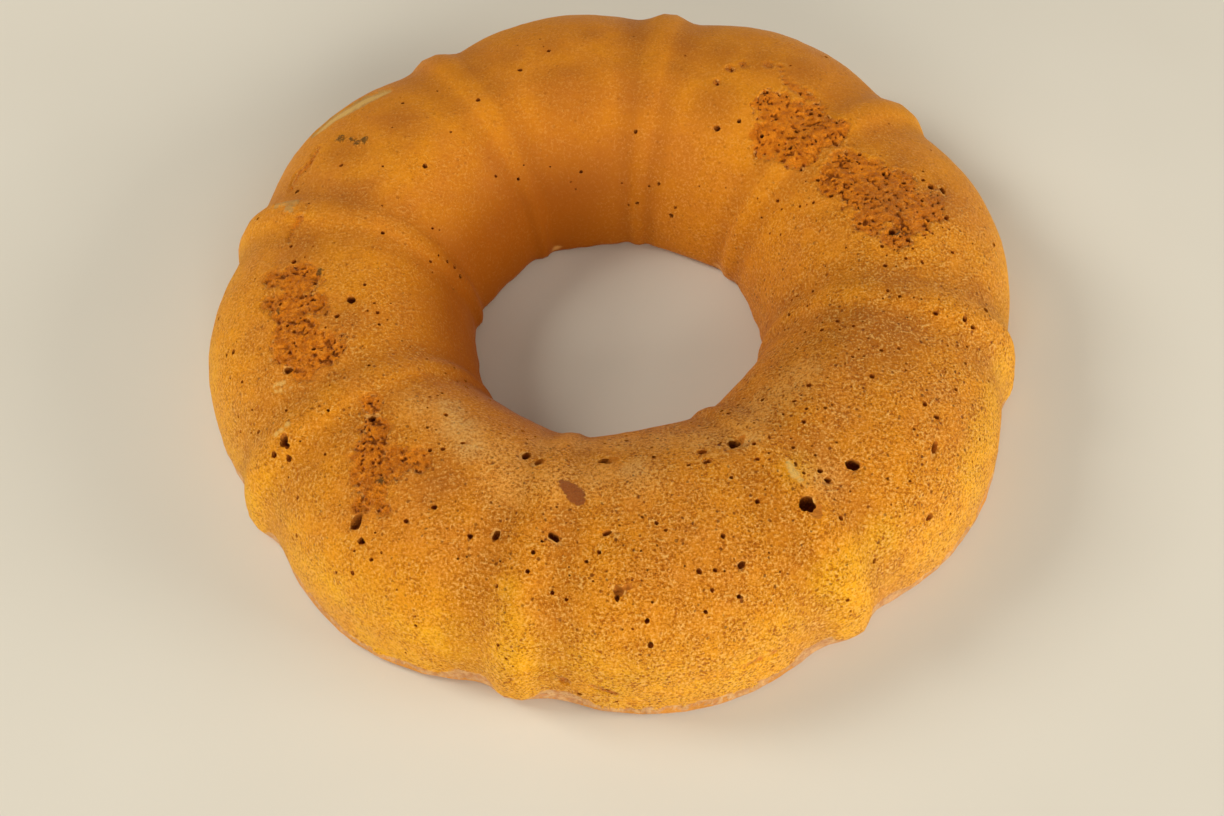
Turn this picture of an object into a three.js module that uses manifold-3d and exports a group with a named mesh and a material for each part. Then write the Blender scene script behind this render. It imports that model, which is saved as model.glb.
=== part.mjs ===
// Carrot cake baked in a fluted ring mould and turned out, crown up.
// Eight broad lobes run over the ring from its outer foot into the hole, with a narrow rib in
// each valley between two lobes. Patches of skin are torn from the crown, and the largest
// bubbles in the crust are open pits. Millimetres, +Z up, standing on the plane Z = 0.

import * as THREE from 'three';
import { mergeVertices } from 'three/addons/utils/BufferGeometryUtils.js';
import Module from 'manifold-3d';

const { degToRad, euclideanModulo, smoothstep } = THREE.MathUtils;

// The ring: radii from its axis, heights from its base
const LOBE_RADIUS = 119.5;
const CROWN_RADIUS = 74;
const HOLE_RADIUS = 40.4;
const CROWN_HEIGHT = 44;
const OUTER_FULLNESS = 2.54;
const INNER_FULLNESS = 1.8;

// The foot: a low band of crumb that rose past the rim of the mould. It is rounded in under the
// cake, swells out unevenly below the lobes and stays tucked under the ribs
const LIP_HEIGHT = 3;
const LIP_TUCK = 2.5;
const BAND_SWELL = 2.2;
const BAND_TUCK = 0.6;
const BAND_UNEVEN = { share: 0.2, slowTurns: 2, quickTurns: 5 };

// The fluting, at its full depth on the outer foot and shallower over the crown and in the hole
const RIBS = 8;
const SECTOR = 360 / RIBS;
const LOBE_DEPTH = 7;
const RIB_HEIGHT = 6;
const RIB_HALF_ANGLE = 3.3;
const CROWN_FLUTING = 0.25;
const HOLE_FLUTING = 0.35;

// The soft cake is uneven: the first rib's angle, how far the ribs have drifted from even
// spacing, and how far the outline and the hole are out of round, with the angle of each
const FIRST_RIB = -104.7;
const DRIFT = { size: 3.1, angle: 126 };
const OUTLINE_OVAL = { size: 1.45, angle: 22.5 };
const OUTLINE_EGG = { size: 0.6, angle: 48 };
const HOLE_OVAL = { size: 2.1, angle: 3 };
const HOLE_EGG = { size: 0.6, angle: 2.5 };

// Places on the crust are given by two angles in degrees: around, round the mould from the
// first rib, and over, from 0 at the outer foot by 90 on the crown to 180 at the hole's foot
const ARCH_LENGTH = 136;
const TEAR_DEPTH = 1.3;
const TEAR_GRAIN = { size: 0.5, acrossTurn: 5, alongTurn: 3 };
const TEAR_EDGE = { from: 0.75, to: 1.05 };
const TEAR_EDGE_WAVES = [
  { size: 0.16, count: 3 },
  { size: 0.12, count: 7 },
];
const TORN_PATCHES = [
  { around: 296, over: 78, wide: 34, tall: 28 },
  { around: 332, over: 77, wide: 24, tall: 34 },
  { around: 140, over: 90, wide: 30, tall: 32 },
  { around: 113, over: 86, wide: 34, tall: 42 },
];
const BUBBLES = [
  { around: 44.2, over: 70, wide: 4.6, tall: 4.2, deep: 4 },
  { around: 54.5, over: 71.5, wide: 4.4, tall: 3, deep: 3 },
  { around: 40.2, over: 103, wide: 3.6, tall: 4, deep: 2.4 },
  { around: 11.5, over: 109, wide: 4, tall: 3, deep: 2.4 },
  { around: 353.8, over: 107.5, wide: 3.2, tall: 3.4, deep: 2.4 },
  { around: 3.5, over: 77, wide: 3.6, tall: 2.6, deep: 2.4 },
  { around: 334, over: 54.5, wide: 3.4, tall: 4.8, deep: 2.6 },
  { around: 315.8, over: 55, wide: 3.4, tall: 4, deep: 2.4 },
  { around: 294, over: 90.5, wide: 2.8, tall: 2.8, deep: 2.2 },
  { around: 13.8, over: 58.5, wide: 2.8, tall: 3, deep: 2.2 },
];

// Steps of the faceted surface
const STEPS_AROUND = 20 * RIBS;
const STEPS_OVER = 26;
const STEPS_LIP = 3;

const CRUST_COLOR = 0xb87425;
const CRUST_ROUGHNESS = 0.72;

// How far an outline stands out at an angle, for a wave with so many lobes round the ring.
function waveAt(wave, lobes, angle) {
  return wave.size * Math.cos(degToRad(lobes * (angle - wave.angle)));
}

// The angle on the cake, from +X, of an angle round the mould.
function cakeAngle(around) {
  return FIRST_RIB + around + waveAt(DRIFT, 1, around);
}

// Height of the fluting, below zero in the valleys and zero along the tops of the lobes.
function fluting(around) {
  const share = euclideanModulo(around, SECTOR) / SECTOR;
  const fromLobeTop = Math.abs(2 * share - 1);
  const fromRib = Math.min(share, 1 - share) * SECTOR;
  const rib = RIB_HEIGHT * Math.exp(-((fromRib / RIB_HALF_ANGLE) ** 2));
  return rib - LOBE_DEPTH * fromLobeTop ** 2;
}

// The radius, height and outward normal of the crust at a place, with the skin raised by so much.
function crustPlace(around, over, raised = 0) {
  const angle = cakeAngle(around);
  const outside = over <= 90;
  const reach = outside
    ? LOBE_RADIUS + waveAt(OUTLINE_OVAL, 2, angle) + waveAt(OUTLINE_EGG, 3, angle) - CROWN_RADIUS
    : CROWN_RADIUS - HOLE_RADIUS - waveAt(HOLE_OVAL, 2, angle) - waveAt(HOLE_EGG, 3, angle);
  const rise = CROWN_HEIGHT - LIP_HEIGHT;
  const fullness = outside ? OUTER_FULLNESS : INNER_FULLNESS;
  const climb = degToRad(outside ? over : 180 - over);
  const acrossShare = Math.max(Math.cos(climb), 0) ** (2 / fullness);
  const upShare = Math.max(Math.sin(climb), 0) ** (2 / fullness);
  const side = outside ? 1 : -1;
  const normal = new THREE.Vector2(
    (side * acrossShare ** (fullness - 1)) / reach,
    upShare ** (fullness - 1) / rise,
  ).normalize();
  const footFluting = outside ? 1 : HOLE_FLUTING;
  const crownShare = (climb / degToRad(90)) ** 2;
  const depth = footFluting + (CROWN_FLUTING - footFluting) * crownShare;
  const skin = fluting(around) * depth + raised;
  return {
    angle: degToRad(angle),
    radius: CROWN_RADIUS + side * reach * acrossShare + normal.x * skin,
    height: LIP_HEIGHT + rise * upShare + normal.y * skin,
    normal,
  };
}

// How much of the skin is gone at a place: 0 on whole crust, 1 inside a torn patch. The edge of
// a patch wanders in and out.
function tornShare(around, over) {
  let torn = 0;
  for (const [index, patch] of TORN_PATCHES.entries()) {
    const turn = euclideanModulo(around - patch.around + 180, 360) - 180;
    const across = (degToRad(turn) * CROWN_RADIUS) / (patch.wide / 2);
    const along = (((over - patch.over) / 180) * ARCH_LENGTH) / (patch.tall / 2);
    const bearing = Math.atan2(along, across);
    let reach = Math.hypot(across, along);
    for (const wave of TEAR_EDGE_WAVES) {
      reach += wave.size * Math.sin(wave.count * (bearing + index));
    }
    torn = Math.max(torn, 1 - smoothstep(reach, TEAR_EDGE.from, TEAR_EDGE.to));
  }
  return torn;
}

// How far the band at the outer foot stands out past the crust above it.
function footSwell(around) {
  const fromLobeTop = Math.abs((2 * euclideanModulo(around, SECTOR)) / SECTOR - 1);
  const slow = Math.sin(degToRad(BAND_UNEVEN.slowTurns * around));
  const quick = Math.sin(degToRad(BAND_UNEVEN.quickTurns * around));
  const uneven = 1 - BAND_UNEVEN.share * (1 - slow * quick);
  return BAND_SWELL * (1 - fromLobeTop ** 3) * uneven - BAND_TUCK;
}

// One row of the ring's cross-section for each step: the flat base, the lip, the arch of the
// crust and the lip of the hole. A row holds its angle over the arch and its share of the tuck.
function sectionRows() {
  const rows = [];
  for (let step = 0; step <= STEPS_LIP; step += 1) {
    rows.push({ over: 0, tuck: 1 - step / STEPS_LIP });
  }
  for (let step = 1; step < STEPS_OVER; step += 1) {
    rows.push({ over: (180 * step) / STEPS_OVER, tuck: 0 });
  }
  for (let step = 0; step <= STEPS_LIP; step += 1) {
    rows.push({ over: 180, tuck: step / STEPS_LIP });
  }
  return rows;
}

// The radius and height of a row at an angle round the mould. The grain of a torn patch rises
// and falls from one vertex to the next.
function rowPlace(around, row, column, rowIndex) {
  const torn = tornShare(around, row.over);
  const grain = Math.sin(TEAR_GRAIN.acrossTurn * column + TEAR_GRAIN.alongTurn * rowIndex);
  const place = crustPlace(around, row.over, torn * (TEAR_GRAIN.size * grain - TEAR_DEPTH));
  if (row.tuck > 0) {
    const turn = degToRad(90 * row.tuck);
    const outside = row.over < 90;
    const swell = outside ? footSwell(around) * Math.sin(2 * turn) : 0;
    place.radius += (outside ? -1 : 1) * LIP_TUCK * (1 - Math.cos(turn)) + swell;
    place.height = LIP_HEIGHT * (1 - Math.sin(turn));
  }
  return place;
}

// The whole ring: the plain section is turned round the axis, and each vertex is then set to
// its place on the fluted, uneven crust.
function ringGeometry() {
  const rows = sectionRows();
  const plainSection = rows.map((row, index) => {
    const place = rowPlace(SECTOR / 2, row, 0, index);
    return new THREE.Vector2(place.radius, place.height);
  });
  plainSection.push(plainSection[0].clone());
  const ring = new THREE.LatheGeometry(plainSection, STEPS_AROUND);
  ring.deleteAttribute('normal');
  ring.deleteAttribute('uv');
  const vertices = ring.getAttribute('position');
  for (let vertex = 0; vertex < vertices.count; vertex += 1) {
    const column = Math.floor(vertex / plainSection.length) % STEPS_AROUND;
    const rowIndex = (vertex % plainSection.length) % rows.length;
    const around = (360 * column) / STEPS_AROUND;
    const place = rowPlace(around, rows[rowIndex], column, rowIndex);
    vertices.setXYZ(
      vertex,
      place.radius * Math.cos(place.angle),
      place.radius * Math.sin(place.angle),
      place.height,
    );
  }
  return mergeVertices(ring);
}

// A bubble that broke through the crust: a round hollow centred on the skin and lying along it.
function bubbleGeometry(bubble) {
  const place = crustPlace(bubble.around, bubble.over);
  const hollow = new THREE.IcosahedronGeometry(0.5, 1);
  hollow.deleteAttribute('normal');
  hollow.deleteAttribute('uv');
  hollow.scale(bubble.tall, bubble.wide, 2 * bubble.deep);
  hollow.rotateY(Math.atan2(place.normal.x, place.normal.y));
  hollow.translate(place.radius, 0, place.height);
  hollow.rotateZ(place.angle);
  return mergeVertices(hollow);
}

function toSolid(geometry, wasm) {
  const vertProperties = new Float32Array(geometry.getAttribute('position').array);
  const triVerts = new Uint32Array(geometry.getIndex().array);
  return new wasm.Manifold(new wasm.Mesh({ numProp: 3, vertProperties, triVerts }));
}

function toGeometry(solid) {
  const mesh = solid.getMesh();
  const geometry = new THREE.BufferGeometry();
  geometry.setAttribute('position', new THREE.BufferAttribute(mesh.vertProperties, 3));
  geometry.setIndex(new THREE.BufferAttribute(mesh.triVerts, 1));
  return geometry;
}

// The cake: the ring with its bubbles opened, its box centred on the axes above the base.
async function cakeGeometry() {
  const wasm = await Module();
  wasm.setup();
  let solid = toSolid(ringGeometry(), wasm);
  for (const bubble of BUBBLES) {
    solid = solid.subtract(toSolid(bubbleGeometry(bubble), wasm));
  }
  const geometry = toGeometry(solid);
  geometry.computeBoundingBox();
  const middle = geometry.boundingBox.getCenter(new THREE.Vector3());
  geometry.translate(-middle.x, -middle.y, 0);
  geometry.computeVertexNormals();
  return geometry;
}

const crust = new THREE.MeshStandardMaterial({
  color: CRUST_COLOR,
  roughness: CRUST_ROUGHNESS,
  metalness: 0,
});

const cake = new THREE.Mesh(await cakeGeometry(), crust);
cake.name = 'cake';

const carrotCake = new THREE.Group();
carrotCake.name = 'carrot_cake';
carrotCake.add(cake);

export default carrotCake;
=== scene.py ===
# %% [markdown]
# # A carrot cake from a fluted ring mould
# The cake is one piece of baked crumb: eight broad lobes with a narrow rib in each valley, a hole
# through the middle, patches where the skin stayed in the mould, and bubbles open in the crust.
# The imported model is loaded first, because everything after it has to keep its place and size.

# %% Load the frame and the tools
import math
from collections import namedtuple

import bmesh
import bpy
import numpy as np
from mathutils import Matrix, Vector, noise
from mathutils.bvhtree import BVHTree


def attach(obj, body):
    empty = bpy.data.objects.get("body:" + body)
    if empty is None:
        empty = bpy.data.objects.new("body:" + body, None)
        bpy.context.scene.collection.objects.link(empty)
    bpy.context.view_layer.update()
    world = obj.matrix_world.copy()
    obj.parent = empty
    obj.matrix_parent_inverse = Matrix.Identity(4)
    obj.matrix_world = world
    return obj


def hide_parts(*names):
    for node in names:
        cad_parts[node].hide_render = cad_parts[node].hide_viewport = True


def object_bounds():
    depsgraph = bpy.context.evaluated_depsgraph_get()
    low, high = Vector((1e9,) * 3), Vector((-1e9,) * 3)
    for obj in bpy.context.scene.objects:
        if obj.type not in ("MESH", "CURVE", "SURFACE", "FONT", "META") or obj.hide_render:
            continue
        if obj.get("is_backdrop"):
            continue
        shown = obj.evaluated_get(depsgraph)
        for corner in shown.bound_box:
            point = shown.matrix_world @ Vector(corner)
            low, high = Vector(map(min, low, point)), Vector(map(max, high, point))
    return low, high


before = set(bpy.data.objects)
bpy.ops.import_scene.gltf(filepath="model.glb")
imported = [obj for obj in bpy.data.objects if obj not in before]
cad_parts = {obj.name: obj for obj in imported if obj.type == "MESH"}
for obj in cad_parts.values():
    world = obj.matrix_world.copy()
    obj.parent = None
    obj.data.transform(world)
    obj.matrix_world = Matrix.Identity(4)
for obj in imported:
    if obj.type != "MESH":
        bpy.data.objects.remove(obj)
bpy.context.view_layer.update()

MM = 0.001
scene = bpy.context.scene

# %% [markdown]
# ## The camera
# The view is part of the model here: landmarks such as a bubble are named by the pixel where they
# show, and a ray through that pixel finds their place on the crust. So the camera comes first. It
# looks down at the near side through a normal lens, and is held a little out of level.

# %% Place the camera
PICTURE_WIDE = 1224
PICTURE_HIGH = 816
SENSOR_WIDE = 36.0
LENS = 50.07
CAMERA_PLACE = Vector((-1.6, -291.2, 429.0)) * MM
LOOKING_DOWN = 57.78
CAMERA_ROLL = -3.53

camera_turn = (
    Matrix.Rotation(math.radians(90 - LOOKING_DOWN), 4, "X")
    @ Matrix.Rotation(math.radians(CAMERA_ROLL), 4, "Z")
)
camera_data = bpy.data.cameras.new("camera")
camera_data.lens = LENS
camera_data.sensor_width = SENSOR_WIDE
camera = bpy.data.objects.new("camera", camera_data)
camera.matrix_world = Matrix.Translation(CAMERA_PLACE) @ camera_turn
scene.collection.objects.link(camera)
scene.camera = camera


def pixel_ray(across, down):
    """Direction from the camera through a pixel of the picture."""
    focal = LENS / SENSOR_WIDE * PICTURE_WIDE
    way = Vector(((across - PICTURE_WIDE / 2) / focal, (PICTURE_HIGH / 2 - down) / focal, -1))
    return (camera_turn.to_3x3() @ way).normalized()


print("the middle of the picture looks along", pixel_ray(PICTURE_WIDE / 2, PICTURE_HIGH / 2))

# %% [markdown]
# ## Light
# Soft warm daylight comes over the far left side and makes each bubble dark on its upper side, and
# two low windows, in front and on the right, light the outer walls but can't look into the hole.
# Three large area lights give the windows, and a plain pale world the fill from all round. The
# Standard view keeps colours as they are set, which matters for crust: a film curve would pull its
# golds towards grey.

# %% Light the stage
LIGHT_AIM = Vector((0, 0, 0.02))
LIGHT_COLOUR = (1.0, 0.94, 0.8)
Window = namedtuple("Window", "name place side watts")
WINDOWS = (
    Window(name="left_window", place=Vector((-1.25, 0.45, 1.05)), side=0.6, watts=14.4),
    Window(name="front_window", place=Vector((-0.15, -1.6, 0.55)), side=1.0, watts=20.5),
    Window(name="right_window", place=Vector((1.5, -0.4, 0.5)), side=0.8, watts=19.0),
)
FILL_COLOUR = (*LIGHT_COLOUR, 1.0)
FILL_STRENGTH = 0.22

for window in WINDOWS:
    light = bpy.data.lights.new(window.name, "AREA")
    light.shape = "SQUARE"
    light.size = window.side
    light.energy = window.watts
    light.color = LIGHT_COLOUR
    lamp = bpy.data.objects.new(window.name, light)
    lamp.location = window.place
    lamp.rotation_euler = (LIGHT_AIM - window.place).to_track_quat("-Z", "Y").to_euler()
    scene.collection.objects.link(lamp)

world = bpy.data.worlds.new("soft_room")
world.use_nodes = True
world.node_tree.nodes["Background"].inputs["Color"].default_value = FILL_COLOUR
world.node_tree.nodes["Background"].inputs["Strength"].default_value = FILL_STRENGTH
scene.world = world
scene.view_settings.view_transform = "Standard"
print("windows:", [(window.name, round(window.place.length, 2)) for window in WINDOWS])

# %% [markdown]
# ## Small helpers for materials
# Colours are easier to judge as the numbers a screen shows, 0 to 255, so one helper turns those
# into the linear values a shader mixes. The next adds a node with its settings in one call, and the
# last lays one colour over another by a mask. They keep each material down to a few lines.

# %% Material helpers


def tone(red, green, blue):
    """A colour as seen on a screen, as the linear colour that a shader needs."""
    shares = np.array((red, green, blue)) / 255
    linear = np.where(shares <= 0.04045, shares / 12.92, ((shares + 0.055) / 1.055) ** 2.4)
    return (*linear.tolist(), 1.0)


def add_node(tree, kind, inputs, **settings):
    """A new node; each input is linked to a socket or set to a plain value."""
    made = tree.nodes.new(kind)
    for name, value in settings.items():
        setattr(made, name, value)
    for name, value in inputs.items():
        if isinstance(value, bpy.types.NodeSocket):
            tree.links.new(value, made.inputs[name])
        else:
            made.inputs[name].default_value = value
    return made


MIX_FIRST_COLOUR = 6
MIX_SECOND_COLOUR = 7
MIX_COLOUR_OUT = 2


def lay_over(tree, mask, under, over):
    """The colour `over` laid on the colour `under` where the mask is 1."""
    inputs = {0: mask, MIX_FIRST_COLOUR: under, MIX_SECOND_COLOUR: over}
    return add_node(tree, "ShaderNodeMix", inputs, data_type="RGBA").outputs[MIX_COLOUR_OUT]


print("orange brown crust in linear light:", [round(part, 3) for part in tone(190, 114, 36)])

# %% [markdown]
# ## The floor
# A plain pale sheet, wide enough to fill the camera's view. A trace of soft mottling keeps it from
# looking like empty space, and it stays rough so that it shows no reflection. Its texture reads
# Object coordinates in millimetres, as every material here does, so scales are real sizes.

# %% Make the floor
FLOOR_HALF_SIDE = 3.0
FLOOR_DROP = 0.1 * MM

floor_mesh = bpy.data.meshes.new("floor")
bm = bmesh.new()
bmesh.ops.create_grid(bm, x_segments=1, y_segments=1, size=FLOOR_HALF_SIDE)
bmesh.ops.translate(bm, verts=bm.verts, vec=(0, 0, -FLOOR_DROP))
bm.to_mesh(floor_mesh)
bm.free()
floor = bpy.data.objects.new("floor", floor_mesh)
scene.collection.objects.link(floor)
print("floor", 2 * FLOOR_HALF_SIDE, "m across")

# %% Colour the floor
FLOOR_PALE = tone(228, 225, 219)
FLOOR_SHADE = tone(222, 218, 211)
FLOOR_ROUGHNESS = 0.9
CLOUDS_PER_MM = 0.012
CLOUD_DETAIL = 2.0


def place_in_mm(tree):
    """The place on the piece in millimetres, so that texture scales are real sizes."""
    place = add_node(tree, "ShaderNodeTexCoord", {}).outputs["Object"]
    inputs = {0: place, "Scale": 1 / MM}
    return add_node(tree, "ShaderNodeVectorMath", inputs, operation="SCALE").outputs[0]


def new_material(name):
    """An empty material, with its node tree and its Principled shader."""
    material = bpy.data.materials.new(name)
    material.use_nodes = True
    return material, material.node_tree, material.node_tree.nodes["Principled BSDF"]


floor_material, tree, shader = new_material("pale_floor")
inputs = {"Vector": place_in_mm(tree), "Scale": CLOUDS_PER_MM, "Detail": CLOUD_DETAIL}
cloudy = add_node(tree, "ShaderNodeTexNoise", inputs).outputs[0]
tree.links.new(lay_over(tree, cloudy, FLOOR_PALE, FLOOR_SHADE), shader.inputs["Base Color"])
shader.inputs["Roughness"].default_value = FLOOR_ROUGHNESS
floor_mesh.materials.append(floor_material)
floor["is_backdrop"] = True
print("floor nodes:", len(tree.nodes))

# %% [markdown]
# ## The form of the cake
# The mould gives the form, so it is worked out rather than sculpted. A place on the crust has two
# angles: `around`, round the mould from the first rib, and `over`, from 0 at the outer foot by 90
# on the crown to 180 at the foot of the hole. The section is two quarter superellipses that meet
# on the crown, and the fluting stands on them at right angles to the crust.

# %% Sizes of the cake
LOBE_RADIUS = 119.5
CROWN_RADIUS = 74.0
HOLE_RADIUS = 40.4
CROWN_HEIGHT = 44.0
OUTER_FULLNESS = 2.54
INNER_FULLNESS = 1.8
LIP_HEIGHT = 3.0
LIP_TUCK = 2.5
RIBS = 8
SECTOR = 360 / RIBS
LOBE_DEPTH = 7.0
RIB_HEIGHT = 6.0
RIB_HALF_ANGLE = 3.3
CROWN_FLUTING = 0.25
HOLE_FLUTING = 0.35
FIRST_RIB = -104.7

Wave = namedtuple("Wave", "size angle")
DRIFT = Wave(size=3.1, angle=126)
OUTLINE_OVAL = Wave(size=1.45, angle=22.5)
OUTLINE_EGG = Wave(size=0.6, angle=48)
HOLE_OVAL = Wave(size=2.1, angle=3)
HOLE_EGG = Wave(size=0.6, angle=2.5)

print("about", 2 * LOBE_RADIUS, "mm over the lobes and", CROWN_HEIGHT, "mm high, with", RIBS, "ribs")

# %% The crust formula


def wave_at(wave, lobes, angle):
    """How far an uneven outline stands out at an angle."""
    return wave.size * np.cos(np.radians(lobes * (angle - wave.angle)))


def cake_angle(around):
    """Angle on the cake, from +X, of an angle round the mould."""
    return FIRST_RIB + around + wave_at(DRIFT, 1, around)


def fluting(around):
    """Height of the fluting: zero along the tops of the lobes, below zero in the valleys."""
    share = (around % SECTOR) / SECTOR
    from_lobe_top = np.abs(2 * share - 1)
    from_rib = np.minimum(share, 1 - share) * SECTOR
    return RIB_HEIGHT * np.exp(-((from_rib / RIB_HALF_ANGLE) ** 2)) - LOBE_DEPTH * from_lobe_top**2


def crust_place(around, over):
    """Radius and height of the crust at two angles, all in millimetres and degrees."""
    angle = cake_angle(around)
    outside = over <= 90
    outer_reach = LOBE_RADIUS + wave_at(OUTLINE_OVAL, 2, angle) + wave_at(OUTLINE_EGG, 3, angle)
    inner_reach = HOLE_RADIUS + wave_at(HOLE_OVAL, 2, angle) + wave_at(HOLE_EGG, 3, angle)
    reach = np.where(outside, outer_reach - CROWN_RADIUS, CROWN_RADIUS - inner_reach)
    rise = CROWN_HEIGHT - LIP_HEIGHT
    fullness = np.where(outside, OUTER_FULLNESS, INNER_FULLNESS)
    side = np.where(outside, 1.0, -1.0)
    climb = np.radians(np.where(outside, over, 180 - over))
    across = np.maximum(np.cos(climb), 0) ** (2 / fullness)
    up = np.maximum(np.sin(climb), 0) ** (2 / fullness)
    lean_out = across ** (fullness - 1) / reach
    lean_up = up ** (fullness - 1) / rise
    lean = np.hypot(lean_out, lean_up)
    foot_fluting = np.where(outside, 1.0, HOLE_FLUTING)
    depth = foot_fluting + (CROWN_FLUTING - foot_fluting) * (climb / (math.pi / 2)) ** 2
    skin = fluting(around) * depth
    radius = CROWN_RADIUS + side * (reach * across + skin * lean_out / lean)
    return radius, LIP_HEIGHT + rise * up + skin * lean_up / lean


OUTLINE_STEP = 0.5
outline_around = np.arange(0, 360, OUTLINE_STEP)
outline_radius, _ = crust_place(outline_around, np.zeros_like(outline_around))
outline_turn = np.radians(cake_angle(outline_around))
outline = np.stack((outline_radius * np.cos(outline_turn), outline_radius * np.sin(outline_turn)))
CAKE_MIDDLE = (outline.min(axis=1) + outline.max(axis=1)) / 2
print("outline in mm:", np.ptp(outline, axis=1).round(1), "middle off the axis by", CAKE_MIDDLE)

# %% [markdown]
# ## From a ring to the whole cake
# A round section turned about the axis is a ring, and every vertex of a ring knows its two angles.
# The second one is shared out here: most of it goes over the crust in steps of equal length, with
# finer steps at the foot, and the rest goes round the lip of the hole, the flat base and the foot.
# The foot is a low band of crumb that rose out of the mould: it swells under the lobes and stays
# tucked under the ribs.

# %% Place of a ring's vertex on the cake
ARCH_TURN = 300.0
FOOT_TURN = 30.0
FOOT_ARC = 7.0
HOLE_LIP_SHARE = 0.2
FOOT_BAND_SHARE = 0.4
BAND_SWELL = 2.2
BAND_TUCK = 0.6
BAND_MEAN = 0.8
BAND_UNEVEN = 0.2
ARCH_POINTS = 721

arch_over = np.linspace(0, 180, ARCH_POINTS)
arch_radius, arch_height = crust_place(np.full_like(arch_over, SECTOR / 2), arch_over)
arch_steps = np.hypot(np.diff(arch_radius), np.diff(arch_height))
arch_length = np.concatenate(([0], np.cumsum(arch_steps)))


def foot_swell(around):
    """How far the band at the foot stands out past the crust above it."""
    lobe = 1 - np.abs(2 * ((around % SECTOR) / SECTOR) - 1) ** 3
    slow_waves = np.sin(np.radians(5 * around)) * np.sin(np.radians(2 * around))
    return BAND_SWELL * lobe * (BAND_MEAN + BAND_UNEVEN * slow_waves) - BAND_TUCK


def cake_place(around, section):
    """Points in millimetres for angles round the mould and round the ring's section."""
    turns = (0, FOOT_TURN, ARCH_TURN)
    along = np.interp(section, turns, (0, FOOT_ARC, arch_length[-1]))
    radius, height = crust_place(around, np.interp(along, arch_length, arch_over))
    under = np.clip((section - ARCH_TURN) / (360 - ARCH_TURN), 0, 1)
    hole_foot, _ = crust_place(around, np.full_like(around, 180.0))
    outer_foot, _ = crust_place(around, np.zeros_like(around))
    lip = np.radians(90 * np.clip(under / HOLE_LIP_SHARE, 0, 1))
    band = np.clip((1 - under) / FOOT_BAND_SHARE, 0, 1)
    curl = np.radians(90 * band)
    hole_edge = hole_foot + LIP_TUCK * (1 - np.cos(lip))
    outer_edge = outer_foot - LIP_TUCK * (1 - np.cos(curl))
    outer_edge = outer_edge + foot_swell(around) * np.sin(math.pi * band)
    flat = np.clip((under - HOLE_LIP_SHARE) / (1 - HOLE_LIP_SHARE - FOOT_BAND_SHARE), 0, 1)
    under_radius = hole_edge + (outer_edge - hole_edge) * flat
    under_height = np.where(flat < 0.5, 1 - np.sin(lip), 1 - np.sin(curl)) * LIP_HEIGHT
    radius = np.where(under > 0, under_radius, radius)
    height = np.where(under > 0, under_height, height)
    turn = np.radians(cake_angle(around))
    across = radius * np.cos(turn) - CAKE_MIDDLE[0]
    along_y = radius * np.sin(turn) - CAKE_MIDDLE[1]
    return np.stack((across, along_y, height), axis=1)


print("length over the arch:", round(arch_length[-1], 1), "mm")

# %% [markdown]
# ## The ring
# One circle, stood upright and spun round the axis, gives the closed ring with even quads. Turning
# a profile of the real crust would give the same faces, but a plain circle makes the two angles of
# every vertex easy to read back, also after some faces have been split.

# %% Spin the ring
STEPS_AROUND = 320
STEPS_SECTION = 96
RING_MIDDLE = 80.0
RING_THICK = 30.0
MERGE_DISTANCE = 0.01

cake_bm = bmesh.new()
bmesh.ops.create_circle(cake_bm, segments=STEPS_SECTION, radius=RING_THICK)
upright = Matrix.Rotation(math.radians(90), 3, "X")
bmesh.ops.rotate(cake_bm, verts=cake_bm.verts, cent=(0, 0, 0), matrix=upright)
bmesh.ops.translate(cake_bm, verts=cake_bm.verts, vec=(RING_MIDDLE, 0, 0))
bmesh.ops.spin(
    cake_bm,
    geom=cake_bm.verts[:] + cake_bm.edges[:],
    cent=(0, 0, 0),
    axis=(0, 0, 1),
    angle=math.radians(360),
    steps=STEPS_AROUND,
    use_merge=True,
)
bmesh.ops.remove_doubles(cake_bm, verts=cake_bm.verts, dist=MERGE_DISTANCE)
bmesh.ops.recalc_face_normals(cake_bm, faces=cake_bm.faces)


def ring_to_cake(ring):
    """The places on the plain cake, in millimetres, of all vertices of a ring."""
    points = np.array([vertex.co for vertex in ring.verts])
    around = np.degrees(np.arctan2(points[:, 1], points[:, 0])) % 360
    out = np.hypot(points[:, 0], points[:, 1]) - RING_MIDDLE
    section = np.degrees(np.arctan2(points[:, 2], out)) % 360
    return cake_place(around, section)


print("ring:", len(cake_bm.verts), "vertices,", len(cake_bm.faces), "faces")

# %% [markdown]
# ## Finding landmarks on the crust
# A guide of the plain cake, held as a search tree, answers two questions: where does the ray
# through a pixel meet the crust, and which point of the plain crust is nearest to a vertex that has
# been pushed in or out. Landmarks then sit on the cake itself, seen from any side.

# %% Build the guide
plain_points = ring_to_cake(cake_bm)
cake_bm.verts.index_update()
ring_faces = [[vertex.index for vertex in face.verts] for face in cake_bm.faces]
guide = BVHTree.FromPolygons(plain_points.tolist(), ring_faces)


def crust_at_pixel(across, down):
    """Place, in millimetres, of the crust that shows at a pixel."""
    place, _, _, _ = guide.ray_cast(CAMERA_PLACE / MM, pixel_ray(across, down))
    return place


print("crown at the near lobe:", crust_at_pixel(across=600, down=500))

# %% [markdown]
# ## Torn patches
# In four places the skin stayed in the mould and shows the open crumb, and thin cracks run over the
# far left shoulder and above the near foot. One outline drawn round each would look cut out, so a
# tear is a cluster of round spots, each with its radius in millimetres.

# %% Place the torn patches
Spot = namedtuple("Spot", "across down radius")


def trail(first, last, count):
    """Spots in even steps from one spot to another, their radius going over too."""
    first, last = np.array(first), np.array(last)
    return [Spot(*(first + (last - first) * share)) for share in np.linspace(0, 1, count)]


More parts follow.
